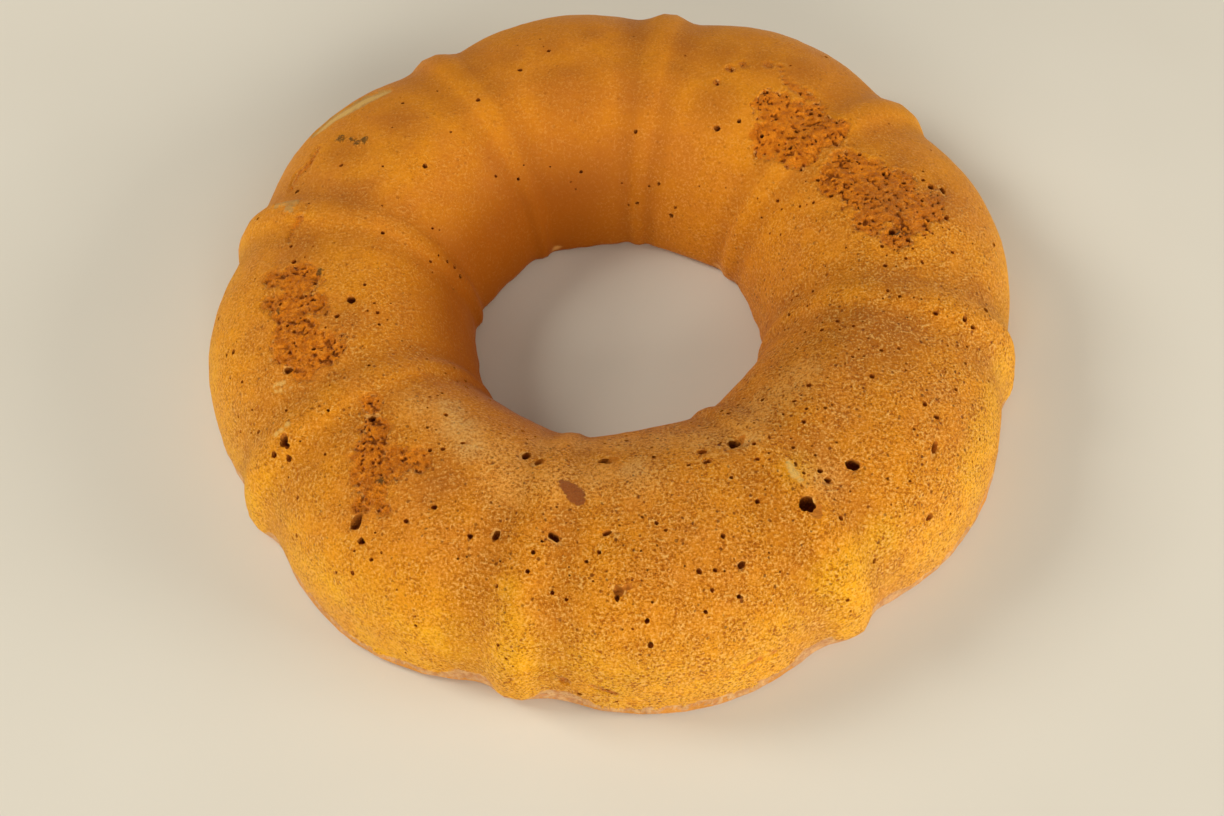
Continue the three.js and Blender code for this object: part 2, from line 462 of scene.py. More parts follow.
TORN_SPOTS = [
    # left shoulder
    Spot(across=270, down=279, radius=3.5),
    Spot(across=272, down=303, radius=3.5),
    Spot(across=317, down=303, radius=4.0),
    Spot(across=300, down=279, radius=6.0),
    Spot(across=291, down=305, radius=6.5),
    Spot(across=294, down=338, radius=7.5),
    Spot(across=320, down=348, radius=6.5),
    Spot(across=306, down=366, radius=5.0),
    # near left crown
    Spot(across=371, down=404, radius=3.0),
    Spot(across=376, down=428, radius=4.5),
    Spot(across=367, down=450, radius=5.0),
    Spot(across=371, down=474, radius=6.0),
    Spot(across=374, down=494, radius=4.0),
    Spot(across=361, down=506, radius=3.2),
    Spot(across=382, down=508, radius=2.6),
    Spot(across=397, down=461, radius=5.0),
    Spot(across=418, down=461, radius=3.5),
    # far right crown
    Spot(across=717, down=82, radius=1.2),
    Spot(across=730, down=68, radius=1.6),
    Spot(across=743, down=64, radius=1.3),
    Spot(across=768, down=65, radius=1.4),
    *trail(Spot(across=780, down=66, radius=0.8), Spot(across=785, down=79, radius=1.0), 4),
    *trail(Spot(across=787, down=82, radius=1.2), Spot(across=808, down=96, radius=2.4), 5),
    Spot(across=776, down=106, radius=6.5),
    Spot(across=802, down=116, radius=7.5),
    Spot(across=828, down=130, radius=6.5),
    Spot(across=770, down=138, radius=6.0),
    Spot(across=797, down=147, radius=7.0),
    # right shoulder
    Spot(across=847, down=160, radius=4.5),
    Spot(across=867, down=168, radius=5.0),
    Spot(across=886, down=178, radius=4.5),
    Spot(across=836, down=178, radius=6.5),
    Spot(across=862, down=192, radius=7.5),
    Spot(across=887, down=203, radius=8.5),
    Spot(across=908, down=217, radius=7.0),
    Spot(across=926, down=206, radius=6.0),
    Spot(across=899, down=183, radius=6.0),
    Spot(across=872, down=218, radius=5.5),
    Spot(across=896, down=236, radius=4.5),
    # crack and tear on the far left shoulder
    *trail(Spot(across=318, down=148, radius=1.0), Spot(across=307, down=166, radius=1.3), 7),
    *trail(Spot(across=305, down=168, radius=1.4), Spot(across=296, down=175, radius=1.3), 4),
    *trail(Spot(across=295, down=178, radius=1.2), Spot(across=290, down=190, radius=0.9), 5),
    *trail(Spot(across=299, down=219, radius=1.6), Spot(across=294, down=227, radius=1.3), 4),
    *trail(Spot(across=292, down=231, radius=1.1), Spot(across=289, down=240, radius=0.9), 4),
    # cracks above the near foot
    Spot(across=565, down=681, radius=1.5),
    *trail(Spot(across=592, down=687, radius=0.8), Spot(across=615, down=695, radius=0.9), 8),
    *trail(Spot(across=745, down=667, radius=0.7), Spot(across=760, down=659, radius=0.9), 5),
    Spot(across=775, down=653, radius=0.9),
]
print("torn spots:", len(TORN_SPOTS))

# %% [markdown]
# ## The ragged edge of a tear
# Skin tears along the crumb, so its edge is ragged at every size. The distance to the edge of the
# nearest spot is simple to work out, and smooth noise of three sizes, added to it, breaks that edge
# up. Small spots take less of the noise, which would swallow the thin cracks.

# %% Noise and easing
SEED_SHIFT = Vector((37.0, 11.0, 5.0))


def lumps(points, size, seed):
    """Smooth noise from -1 to 1 with lumps of about a size in millimetres."""
    shift = SEED_SHIFT * seed
    return np.array([noise.noise(Vector(point) / size + shift) for point in points.tolist()])


def layered(points, layers, seed):
    """Noise of several heights and sizes in millimetres, added up."""
    heights = [rise * lumps(points, size, seed + step) for step, (rise, size) in enumerate(layers)]
    return sum(heights)


def eased(value, low, high):
    """A value eased from 0 at low to 1 at high."""
    share = np.clip((value - low) / (high - low), 0, 1)
    return share * share * (3 - 2 * share)


print("a quarter of the way, an eased value is at", eased(0.25, 0, 1))

# %% Measure the way to torn crumb
RAGGED = ((2.4, 5.5), (1.8, 2.4), (1.4, 1.2))
RAGGED_REACH = 8
RAGGED_LEAST = 0.08


def on_crust(spots):
    """Places and radii of some spots, in millimetres."""
    places = np.array([crust_at_pixel(spot.across, spot.down) for spot in spots])
    return places, np.array([spot.radius for spot in spots])


def nearest_edge(points, places, radii):
    """Distance in millimetres to the edge of the nearest spot, and that spot's radius."""
    nearest = np.full(len(points), np.inf)
    reach = np.zeros(len(points))
    for place, radius in zip(places, radii):
        edge = np.linalg.norm(points - place, axis=1) - radius
        reach = np.where(edge < nearest, radius, reach)
        nearest = np.minimum(nearest, edge)
    return nearest, reach


torn_places, torn_radii = on_crust(TORN_SPOTS)


def torn_edge(points):
    """Distance in millimetres to the ragged edge of the torn crumb, below zero inside it."""
    edge, reach = nearest_edge(points, torn_places, torn_radii)
    near = edge < RAGGED_REACH
    room = np.clip(reach[near] / torn_radii.max() + RAGGED_LEAST, 0, 1)
    edge[near] += layered(points[near], RAGGED, seed=1) * room
    return edge


torn_area = (math.pi * torn_radii**2).sum() / 100
print("torn spots cover about", round(torn_area), "square centimetres before overlaps")

# %% [markdown]
# ## Small landmarks
# A strip of skin is peeled from the far left shoulder and shows pale crumb, a flake stands up below
# it, and a few dark crumbs are baked into the crust. They are low relief as well as colour, so
# their spots are named here, where the mesh can still be made fine enough to hold them.

# %% Place the small landmarks
PEELED_STRIP = (
    *trail(Spot(across=318, down=131, radius=2.6), Spot(across=335, down=117, radius=4.0), 6),
    *trail(Spot(across=340, down=114, radius=4.2), Spot(across=367, down=99, radius=4.0), 8),
    *trail(Spot(across=372, down=97, radius=3.4), Spot(across=388, down=91, radius=1.4), 5),
)
LIFTED_FLAKE = (
    *trail(Spot(across=274, down=206, radius=1.0), Spot(across=295, down=202, radius=1.4), 7),
    Spot(across=289, down=209, radius=1.6),
)
DARK_CRUMBS = (
    Spot(across=340, down=139, radius=1.4),
    Spot(across=352, down=139, radius=0.9),
    Spot(across=357, down=144, radius=1.2),
    Spot(across=364, down=140, radius=1.1),
    Spot(across=319, down=271, radius=0.9),
    Spot(across=278, down=311, radius=1.0),
    Spot(across=381, down=480, radius=1.1),
    Spot(across=895, down=232, radius=1.2),
)
LANDMARK_RISE = ((PEELED_STRIP, -0.5), (LIFTED_FLAKE, 0.5), (DARK_CRUMBS, 0.4))
landmark_places, landmark_radii = on_crust(PEELED_STRIP + LIFTED_FLAKE + DARK_CRUMBS)
print("landmark spots:", len(landmark_places))

# %% [markdown]
# ## Finer faces where the skin is torn
# Torn crumb needs steps of half a millimetre, but the smooth crust doesn't, and a piece should stay
# under 200,000 triangles. So only the faces near a patch are split, while the mesh is still a ring:
# the new vertices then get their place from the same formula as the rest. The edges are kept in
# the order of their faces, because a set would give them in another order on every run.

# %% Split the faces of the torn patches
TORN_MARGIN = 1.5
TORN_CUTS = 4

cake_bm.faces.ensure_lookup_table()
face_middles = np.array([plain_points[corners].mean(axis=0) for corners in ring_faces])
in_patch = nearest_edge(face_middles, torn_places, torn_radii)[0] < TORN_MARGIN
in_patch |= nearest_edge(face_middles, landmark_places, landmark_radii)[0] < TORN_MARGIN
patch_faces = [cake_bm.faces[index] for index in np.flatnonzero(in_patch)]
patch_edges = list(dict.fromkeys(edge for face in patch_faces for edge in face.edges))
bmesh.ops.subdivide_edges(cake_bm, edges=patch_edges, cuts=TORN_CUTS, use_grid_fill=True)
for vertex, point in zip(cake_bm.verts, ring_to_cake(cake_bm).tolist()):
    vertex.co = point
cake_bm.normal_update()
litres = cake_bm.calc_volume(signed=True) / 1e6
print("after the split:", len(cake_bm.faces), "faces round", round(litres, 2), "litres")

# %% [markdown]
# ## Relief of the crust
# The skin is never quite even: it undulates, has a fine rough grain, and sits lower where it tore
# off, with crumbs standing up and crevices between them. All of it moves vertices along their
# normals, and a mask leaves out the flat base. Sculpting could give the same by hand, but noise in
# millimetres keeps every lump at the size that it has on the cake.

# %% The floor of a tear
TEAR_DEPTH = 0.3
CRUMB_RISE = 0.26
CREVICE_DEPTH = 0.75
CRUMBS = ((1.0, 3.2), (0.6, 1.1))
PITS = ((1.0, 1.7), (0.7, 0.9))
PIT_RANGE = (0.08, 0.5)
OPEN_SIZE = 4.0
OPEN_RANGE = (-0.4, 0.3)
OPEN_SHARE = 0.45
CLOSED_SHARE = 0.55
RIM_RANGE = (-2.6, -0.7)
RIM_OPENS = 0.1


def crumb_floor(points, edge):
    """Height of the open crumb inside a tear, with pits and crevices in parts of it."""
    near_rim = RIM_OPENS * eased(edge, *RIM_RANGE)
    open_here = eased(lumps(points, OPEN_SIZE, seed=6) + near_rim, *OPEN_RANGE)
    pits = eased(layered(points, PITS, seed=7), *PIT_RANGE)
    crevices = pits * (CLOSED_SHARE + OPEN_SHARE * open_here)
    return CRUMB_RISE * layered(points, CRUMBS, seed=4) - CREVICE_DEPTH * crevices - TEAR_DEPTH


print("crevices go down to about", CREVICE_DEPTH + TEAR_DEPTH, "mm below the skin")

# %% Push the crust in and out
WAVES = ((0.3, 14.0), (0.14, 4.5), (0.07, 2.2))
TEAR_SLOPE = 0.6
SKIN_CURL = 0.1
CURL_UP = (0.2, 0.9)
CURL_DOWN = (0.9, 2.2)
LANDMARK_EDGE = (-0.6, 0.3)
FOOT_RUMPLE = 0.6
RUMPLE_SIZE = 5.0
FOOT_RANGE = (3.0, 7.0)
BASE_RANGE = (0.3, 2.0)


def read_vectors(items, name):
    """A vector of each of some items, as rows of three numbers."""
    values = np.empty(len(items) * 3)
    items.foreach_get(name, values)
    return values.reshape(-1, 3)


cake_mesh = bpy.data.meshes.new("carrot_cake")
cake_bm.to_mesh(cake_mesh)
cake_bm.free()
points = read_vectors(cake_mesh.vertices, "co")
normals = read_vectors(cake_mesh.vertex_normals, "vector")

raised = layered(points, WAVES, seed=10)
edge = torn_edge(points)
torn_off = 1 - eased(edge, -TEAR_SLOPE, TEAR_SLOPE)
inside = torn_off > 0
raised[inside] += (crumb_floor(points[inside], edge[inside]) - raised[inside]) * torn_off[inside]
raised += SKIN_CURL * eased(edge, *CURL_UP) * (1 - eased(edge, *CURL_DOWN))
for spots, rise in LANDMARK_RISE:
    from_spot, _ = nearest_edge(points, *on_crust(spots))
    raised += rise * (1 - eased(from_spot, *LANDMARK_EDGE))
at_foot = 1 - eased(points[:, 2], *FOOT_RANGE)
raised += FOOT_RUMPLE * lumps(points, RUMPLE_SIZE, seed=30) * at_foot
raised *= eased(points[:, 2], *BASE_RANGE)
points = (points + normals * raised[:, None]) * MM
cake_mesh.vertices.foreach_set("co", points.ravel())
cake_mesh.update()
print("relief from", round(raised.min(), 2), "to", round(raised.max(), 2), "mm")

# %% [markdown]
# ## Bubbles in the crust
# Bubbles of gas broke through the skin and left open pits, from pinholes to 5 mm across. Each is a
# lumpy ball, most of them sunk a little below the skin so that the mouth is narrower than the
# hollow. Shallow side hollows make the largest ones ragged. Bubbles that catch the eye are placed
# one by one, and the fine ones are scattered by a seeded rule, most of them over the near crown
# and the right side.

# %% The bubbles placed one by one
SUNK = 0.3
Bubble = namedtuple("Bubble", "across down wide tall deep turn sunk", defaults=(0, SUNK))
BUBBLES = [
    Bubble(across=808, down=504, wide=4.6, tall=4.2, deep=4.0),
    Bubble(across=853, down=464, wide=4.4, tall=2.8, deep=3.0, turn=-8),
    Bubble(across=734, down=443, wide=3.6, tall=3.4, deep=2.4),
    Bubble(across=605, down=461, wide=4.2, tall=2.4, deep=2.2, turn=-15),
    Bubble(across=527, down=455, wide=3.6, tall=2.4, deep=2.4, turn=50),
    Bubble(across=540, down=461, wide=3.0, tall=2.0, deep=1.2, turn=15),
    Bubble(across=554, down=536, wide=3.8, tall=2.0, deep=2.2, turn=-35),
    Bubble(across=355, down=522, wide=5.0, tall=2.8, deep=1.8, turn=55),
    Bubble(across=361, down=541, wide=2.3, tall=2.2, deep=2.0),
    Bubble(across=283, down=440, wide=3.0, tall=3.6, deep=2.2),
    Bubble(across=274, down=455, wide=1.8, tall=2.0, deep=1.6),
    Bubble(across=289, down=458, wide=1.8, tall=2.4, deep=1.6),
    Bubble(across=351, down=299, wide=2.4, tall=2.6, deep=2.2),
    Bubble(across=288, down=370, wide=2.6, tall=2.2, deep=1.8),
    Bubble(across=372, down=418, wide=2.0, tall=2.0, deep=1.8),
    Bubble(across=618, down=591, wide=2.8, tall=2.8, deep=1.2),
    Bubble(across=651, down=645, wide=1.7, tall=2.0, deep=1.6),
    Bubble(across=607, down=533, wide=2.8, tall=1.3, deep=1.3, turn=12),
    Bubble(across=496, down=535, wide=3.0, tall=1.9, deep=1.7, turn=75),
    Bubble(across=470, down=536, wide=1.6, tall=1.5, deep=1.4),
    Bubble(across=434, down=507, wide=1.7, tall=1.6, deep=1.5),
    Bubble(across=406, down=521, wide=1.5, tall=1.4, deep=1.3),
    Bubble(across=965, down=319, wide=1.8, tall=2.0, deep=1.6),
    Bubble(across=986, down=310, wide=1.7, tall=2.2, deep=1.5),
    Bubble(across=936, down=313, wide=1.9, tall=1.6, deep=1.4),
    Bubble(across=872, down=376, wide=1.8, tall=1.6, deep=1.4),
    Bubble(across=809, down=385, wide=1.6, tall=1.4, deep=1.3),
    Bubble(across=925, down=404, wide=1.5, tall=1.7, deep=1.3),
    Bubble(across=702, down=451, wide=2.4, tall=1.3, deep=1.2),
    Bubble(across=708, down=461, wide=2.4, tall=1.4, deep=1.4),
    Bubble(across=828, down=480, wide=2.0, tall=1.7, deep=1.5),
    Bubble(across=820, down=471, wide=1.7, tall=1.5, deep=1.4),
    Bubble(across=935, down=447, wide=4.0, tall=1.5, deep=1.6, turn=70),
    Bubble(across=930, down=517, wide=2.5, tall=1.6, deep=1.5, turn=50),
    Bubble(across=841, down=518, wide=1.5, tall=1.5, deep=1.3),
    Bubble(across=742, down=565, wide=2.6, tall=1.6, deep=1.6, turn=40),
    Bubble(across=715, down=570, wide=1.5, tall=1.3, deep=1.3),
    Bubble(across=723, down=536, wide=1.4, tall=1.6, deep=1.3),
    Bubble(across=443, down=449, wide=1.5, tall=1.3, deep=1.2),
    Bubble(across=430, down=450, wide=1.3, tall=1.3, deep=1.2),
    Bubble(across=463, down=443, wide=1.4, tall=1.0, deep=1.2),
    Bubble(across=520, down=70, wide=1.7, tall=1.6, deep=1.5),
    Bubble(across=478, down=100, wide=1.6, tall=1.6, deep=1.4),
    Bubble(across=425, down=166, wide=1.6, tall=1.8, deep=1.4),
    Bubble(across=717, down=128, wide=2.0, tall=1.8, deep=1.6),
    Bubble(across=739, down=121, wide=1.5, tall=1.5, deep=1.4),
    Bubble(across=932, down=186, wide=2.2, tall=2.4, deep=1.8),
    Bubble(across=943, down=190, wide=2.0, tall=3.0, deep=1.8),
    Bubble(across=893, down=231, wide=2.4, tall=2.4, deep=2.0),
]
print("single bubbles:", len(BUBBLES))

# %% Pits in a tear, and hollows beside a bubble
SHOULDER_PITS = [
    Bubble(across=860, down=154, wide=1.3, tall=1.2, deep=1.2),
    Bubble(across=849, down=161, wide=1.2, tall=1.0, deep=1.1),
    Bubble(across=884, down=174, wide=1.6, tall=1.2, deep=1.3, turn=30),
    Bubble(across=904, down=183, wide=1.7, tall=1.4, deep=1.5),
    Bubble(across=923, down=180, wide=1.6, tall=1.5, deep=1.4),
    Bubble(across=928, down=220, wide=1.5, tall=1.4, deep=1.4),
    Bubble(across=947, down=217, wide=1.3, tall=1.4, deep=1.2),
    Bubble(across=908, down=240, wide=1.4, tall=1.8, deep=1.3, turn=20),
    Bubble(across=882, down=246, wide=1.3, tall=1.3, deep=1.2),
    Bubble(across=831, down=196, wide=1.5, tall=1.3, deep=1.3),
    Bubble(across=842, down=192, wide=1.3, tall=1.1, deep=1.2),
]
SIDE_HOLLOWS = [
    Bubble(across=814, down=509, wide=5.0, tall=4.2, deep=2.0, turn=-35, sunk=-0.6),
    Bubble(across=625, down=588, wide=3.6, tall=1.8, deep=1.2, turn=25, sunk=-0.4),
    Bubble(across=617, down=598, wide=1.5, tall=2.0, deep=1.3),
    Bubble(across=858, down=467, wide=3.6, tall=2.4, deep=1.4, turn=20, sunk=-0.5),
    Bubble(across=287, down=446, wide=1.8, tall=1.8, deep=1.4),
    Bubble(across=360, down=515, wide=3.4, tall=2.2, deep=1.4, turn=50, sunk=-0.4),
    Bubble(across=741, down=440, wide=3.2, tall=2.4, deep=1.4, turn=30, sunk=-0.5),
    Bubble(across=613, down=459, wide=3.2, tall=1.8, deep=1.2, sunk=-0.5),
]
Hollow = namedtuple("Hollow", "place wide tall deep turn sunk")
skin_tree = BVHTree.FromPolygons(
    (points / MM).tolist(), [polygon.vertices[:] for polygon in cake_mesh.polygons]
)
hollows = []
for bubble in BUBBLES + SHOULDER_PITS + SIDE_HOLLOWS:
    place, _, _, _ = skin_tree.ray_cast(CAMERA_PLACE / MM, pixel_ray(bubble.across, bubble.down))
    hollows.append(Hollow(place, *bubble[2:]))
print("bubbles placed by eye:", len(hollows))

# %% Where the fine bubbles are
FINE_TRIES = 3600
FINE_SEED = 41
SECTION_RANGE = (FOOT_TURN * 0.5, ARCH_TURN * 0.9)
NEAR_RANGE = (-70, 60)
RIGHT_RANGE = (10, 80)
RIGHT_NEAR_RANGE = (-60, 10)
CROWN_RANGE = (8, 34)
CLUSTER_SIZE = 16.0
CLUSTER_RANGE = (-0.35, 0.45)
FAR_CHANCE = 0.1
NEAR_CHANCE = 0.55
TORN_CHANCE = 0.4
INSIDE_TEAR = -0.5

rng = np.random.default_rng(FINE_SEED)
try_around = rng.uniform(0, 360, FINE_TRIES)
try_points = cake_place(try_around, rng.uniform(*SECTION_RANGE, FINE_TRIES))
try_right, try_near, try_high = try_points[:, 0], -try_points[:, 1], try_points[:, 2]
near_share = eased(try_near, *NEAR_RANGE)
right_share = eased(try_right, *RIGHT_RANGE) * eased(try_near, *RIGHT_NEAR_RANGE)
crown_share = eased(try_high, *CROWN_RANGE)
clusters = eased(lumps(try_points, CLUSTER_SIZE, seed=20), *CLUSTER_RANGE)
chance = FAR_CHANCE + NEAR_CHANCE * np.maximum(near_share, right_share) * crown_share
chance = np.maximum(chance * clusters, TORN_CHANCE * (torn_edge(try_points) < INSIDE_TEAR))
print("mean chance of a fine bubble:", round(chance.mean(), 3))

# %% Scatter the fine bubbles
WIDE_LEAST = 0.7
WIDE_SPREAD = 0.75
TALL_LEAST = 0.75
TALL_SPREAD = 0.6
DEEP_LEAST = 0.8
DEEP_SPREAD = 0.5
RIM_BETWEEN = 0.5

keep_draw = rng.uniform(0, 1, FINE_TRIES)
size_draw = rng.uniform(0, 1, (FINE_TRIES, 3))
for index in np.flatnonzero(keep_draw < chance):
    place, _, _, _ = skin_tree.find_nearest(Vector(try_points[index]))
    wide_draw, tall_draw, deep_draw = size_draw[index]
    wide = WIDE_LEAST + WIDE_SPREAD * wide_draw**2
    tall = wide * (TALL_LEAST + TALL_SPREAD * tall_draw)
    deep = wide * (DEEP_LEAST + DEEP_SPREAD * deep_draw)
    apart = [(place - other.place).length - other.wide / 2 - tall for other in hollows]
    if min(apart) > RIM_BETWEEN:
        hollows.append(Hollow(place, wide, tall, deep, turn=180 * deep_draw, sunk=SUNK))
print("bubbles in all:", len(hollows))

# %% [markdown]
# ## Cutting the bubbles
# Many balls go into one mesh, and one Boolean cuts them all from the cake, which is quick and leaves
# crisp rims. Balls in one cutter must not overlap, because the solver counts their shared space
# twice, so those that do wait for the next round. The cut faces take the balls' material. First
# come wide shallow dishes with the crust's own material, because the skin sinks round the mouth of
# a large bubble, and then the hollows, which show open crumb.

# %% Make one ball
LUMPINESS = 0.34
LUMPS_ACROSS = 2.2
ROUGHNESS = 0.2
ROUGH_ACROSS = 5.0
BALL_SHIFT = 3.7
SMALL_BUBBLE = 0.95
LARGE_BUBBLE = 1.9
picture_right = camera_turn.to_3x3() @ Vector((1, 0, 0))


def stand_on_crust(normal, turn):
    """Axes with Z along the normal and X along the picture's right, turned by an angle."""
    up = normal.cross(picture_right).normalized()
    right = up.cross(normal)
    axes = Matrix((right, up, normal)).transposed().to_4x4()
    return axes @ Matrix.Rotation(math.radians(turn), 4, "Z")


def add_ball(cutter_bm, number, hollow):
    """One lumpy ball, its middle sunk by a share of its depth; below zero it cuts a shallow dish."""
    _, normal, _, _ = guide.find_nearest(hollow.place)
    mouth = 1 / math.sqrt(1 - hollow.sunk**2)
    half_sides = (hollow.wide / 2 * mouth, hollow.tall / 2 * mouth, hollow.deep, 1)
    middle = hollow.place - normal * hollow.sunk * hollow.deep
    stand = stand_on_crust(normal, hollow.turn)
    matrix = Matrix.Translation(middle) @ stand @ Matrix.Diagonal(half_sides)
    detail = 1 + (hollow.wide > SMALL_BUBBLE) + (hollow.wide > LARGE_BUBBLE)
    ball = bmesh.ops.create_icosphere(cutter_bm, subdivisions=detail, radius=1, matrix=matrix)
    own = Vector((number * BALL_SHIFT, 0, 0))
    for vertex in ball["verts"]:
        away = vertex.co - middle
        swell = LUMPINESS * noise.noise(away * (LUMPS_ACROSS / hollow.wide) + own)
        swell += ROUGHNESS * noise.noise(away * (ROUGH_ACROSS / hollow.wide) + own)
        vertex.co = middle + away * (1 + swell)


large = sum(hollow.wide > LARGE_BUBBLE for hollow in hollows)
print("large bubbles, with the finest balls:", large)

# %% Cut one mesh of balls
crust_material, crust_tree, crust_shader = new_material("baked_crust")
crumb_material, crumb_tree, crumb_shader = new_material("open_crumb")
cake_mesh.materials.append(crust_material)
cake = bpy.data.objects.new("carrot_cake", cake_mesh)
scene.collection.objects.link(cake)


def cut_from_cake(cutter_bm, material):
    """Cut all the balls of a bmesh from the cake, leaving their material on the cut faces."""
    bmesh.ops.scale(cutter_bm, verts=cutter_bm.verts, vec=(MM, MM, MM))
    cutter_mesh = bpy.data.meshes.new("bubble_balls")
    cutter_bm.to_mesh(cutter_mesh)
    cutter_mesh.materials.append(material)
    cutter = bpy.data.objects.new("bubble_balls", cutter_mesh)
    scene.collection.objects.link(cutter)
    cut = cake.modifiers.new("open_bubbles", "BOOLEAN")
    cut.operation = "DIFFERENCE"
    cut.object = cutter
    cut.solver = "MANIFOLD"
    cut.material_mode = "TRANSFER"
    bpy.context.view_layer.update()
    evaluated = cake.evaluated_get(bpy.context.evaluated_depsgraph_get())
    whole_mesh = cake.data
    cake.data = bpy.data.meshes.new_from_object(evaluated)
    cake.modifiers.clear()
    bpy.data.meshes.remove(whole_mesh)
    bpy.data.objects.remove(cutter)
    bpy.data.meshes.remove(cutter_mesh)


print("cake before the cut:", len(cake_mesh.polygons), "faces")

# %% Cut in rounds
CUTTING_ROUNDS = 3


def largest_side(hollow):
    """The largest of a hollow's three sizes."""
    return max(hollow.wide, hollow.tall, hollow.deep)


def keeps_clear(hollow, others):
    """Whether a hollow overlaps none of some numbered others."""
    return all(
        (hollow.place - other.place).length > largest_side(hollow) + largest_side(other)
        for _, other in others
    )


def cut_in_rounds(cuts, material):
    """Cut hollows from the cake, in rounds of hollows that keep clear of each other."""
    waiting = list(enumerate(cuts))
    for cutting_round in range(CUTTING_ROUNDS):
        cut_now = []
        left_over = []
        for number, hollow in waiting:
            (cut_now if keeps_clear(hollow, cut_now) else left_over).append((number, hollow))
        if cut_now:
            cutter_bm = bmesh.new()
            for number, hollow in cut_now:
                add_ball(cutter_bm, number, hollow)
            cut_from_cake(cutter_bm, material)
            cutter_bm.free()
        print("round", cutting_round + 1, "cuts", len(cut_now), "and leaves", len(left_over))
        waiting = left_over


print("largest side of a bubble:", max(largest_side(hollow) for hollow in hollows), "mm")

# %% Cut the dishes, then the hollows
MOUTH_WIDER = 1.6
MOUTH_DEEP = 1.8
MOUTH_SUNK = -0.75

mouths = [
    Hollow(
        hollow.place,
        wide=MOUTH_WIDER * hollow.wide,
        tall=MOUTH_WIDER * hollow.tall,
        deep=MOUTH_DEEP,
        turn=hollow.turn,
        sunk=MOUTH_SUNK,
    )
    for hollow in hollows
    if hollow.wide > LARGE_BUBBLE and hollow.sunk > 0
]
cut_in_rounds(mouths, crust_material)
cut_in_rounds(hollows, crumb_material)
cut_mesh = cake.data
cut_mesh.name = "carrot_cake"
print("cake after the cuts:", len(cut_mesh.polygons), "faces")

# %% [markdown]
# ## Cleaning up after the cut
# Where a ball grazes an edge of the skin, the Boolean leaves slivers too thin to see, which would
# shade badly, so they are dissolved. Then all faces are shaded smooth, apart from the sharp rims.

# %% Dissolve slivers
SLIVER = 0.002 * MM

rim_bm = bmesh.new()
rim_bm.from_mesh(cut_mesh)
bmesh.ops.dissolve_degenerate(rim_bm, dist=SLIVER, edges=rim_bm.edges)
litres = rim_bm.calc_volume(signed=True) * 1000
rim_bm.to_mesh(cut_mesh)
rim_bm.free()
print("left after the cut:", round(litres, 2), "litres of cake")

# %% Shade the rims crisp
RIM_ANGLE = 42
cut_mesh.polygons.foreach_set("use_smooth", np.ones(len(cut_mesh.polygons), dtype=bool))
cut_mesh.set_sharp_from_angle(angle=math.radians(RIM_ANGLE))
triangles = sum(len(polygon.vertices) - 2 for polygon in cut_mesh.polygons)
print("finished cake:", triangles, "triangles, materials",
      [material.name for material in cut_mesh.materials])

# %% [markdown]
# ## Masks for the finish
# Colour follows the form: the outer walls are more golden, the crown browner, and torn crumb more
# orange. The valleys are darker with painted shade, and the hole is darker low down and darkest on
# its left and far walls, partly deeper browning and partly painted shade. A few patches are also
# browner, more golden or dustier than their form would say; some of these carry painted shade along
# the far side, or painted light on the right walls and round the near rim of the hole. Each of these
# is a number on every vertex, worked out after the cut, because a Boolean gives new vertices on the
# rims no value of their own.

# %% Patches of the skin
# Patches of deeper browning; those along the far edge are painted shade, where the crust is turned from
# the windows.
BROWN_AND_SHADED_PATCHES = (
    Spot(across=880, down=338, radius=12),
    Spot(across=895, down=285, radius=6),
    Spot(across=890, down=200, radius=6),
    Spot(across=350, down=200, radius=6),
    Spot(across=350, down=320, radius=5),
    Spot(across=570, down=90, radius=12),
    Spot(across=640, down=95, radius=8),
    Spot(across=440, down=480, radius=6),
    Spot(across=400, down=120, radius=7),
    Spot(across=345, down=150, radius=7),
    Spot(across=300, down=250, radius=5),
    Spot(across=715, down=105, radius=8),
    Spot(across=800, down=125, radius=1),
    Spot(across=900, down=160, radius=5),
    Spot(across=940, down=195, radius=7),
    *trail(Spot(across=470, down=72, radius=5), Spot(across=590, down=34, radius=5), 4),
    *trail(Spot(across=640, down=36, radius=6), Spot(across=800, down=70, radius=8), 5),
)
# Golden crust, partly painted light: paler on the right wall and on the lit sides of the near ribs.
GOLD_AND_LIT_PATCHES = (
    *trail(Spot(across=508, down=590, radius=3), Spot(across=512, down=655, radius=6), 3),
    Spot(across=800, down=470, radius=4),
    *trail(Spot(across=1002, down=370, radius=6), Spot(across=975, down=470, radius=8), 4),
    *trail(Spot(across=880, down=540, radius=6), Spot(across=835, down=580, radius=6), 3),
)
# Flour dust round the near rim of the hole, laid thicker there also as painted light on that rim.
DUST_AND_LIGHT_PATCHES = (
    *trail(Spot(across=420, down=405, radius=4), Spot(across=500, down=455, radius=6), 4),
    *trail(Spot(across=545, down=445, radius=4), Spot(across=700, down=438, radius=6), 5),
    *trail(Spot(across=740, down=425, radius=6), Spot(across=800, down=375, radius=5), 4),
    Spot(across=822, down=478, radius=4),
    *trail(Spot(across=512, down=480, radius=6), Spot(across=640, down=475, radius=5), 4),
)
print(
    "spots:", len(BROWN_AND_SHADED_PATCHES), "browned,", len(GOLD_AND_LIT_PATCHES), "golden,", len(DUST_AND_LIGHT_PATCHES), "dust_and_light"
)

# %% Find each vertex's place on the plain crust
DRIFT_ROUNDS = 4

points = read_vectors(cut_mesh.vertices, "co") / MM
plain = np.empty_like(points)
below = np.empty(len(points))
for index, point in enumerate(points.tolist()):
    place, normal, _, _ = guide.find_nearest(Vector(point))
    plain[index] = place
    below[index] = (place - Vector(point)).dot(normal)

from_axis = plain[:, :2] + CAKE_MIDDLE
radius = np.hypot(from_axis[:, 0], from_axis[:, 1])
angle = np.degrees(np.arctan2(from_axis[:, 1], from_axis[:, 0]))
around = angle - FIRST_RIB
for _ in range(DRIFT_ROUNDS):
    around = angle - FIRST_RIB - wave_at(DRIFT, 1, around)
print("deepest vertex:", round(below.max(), 2), "mm below the plain crust")

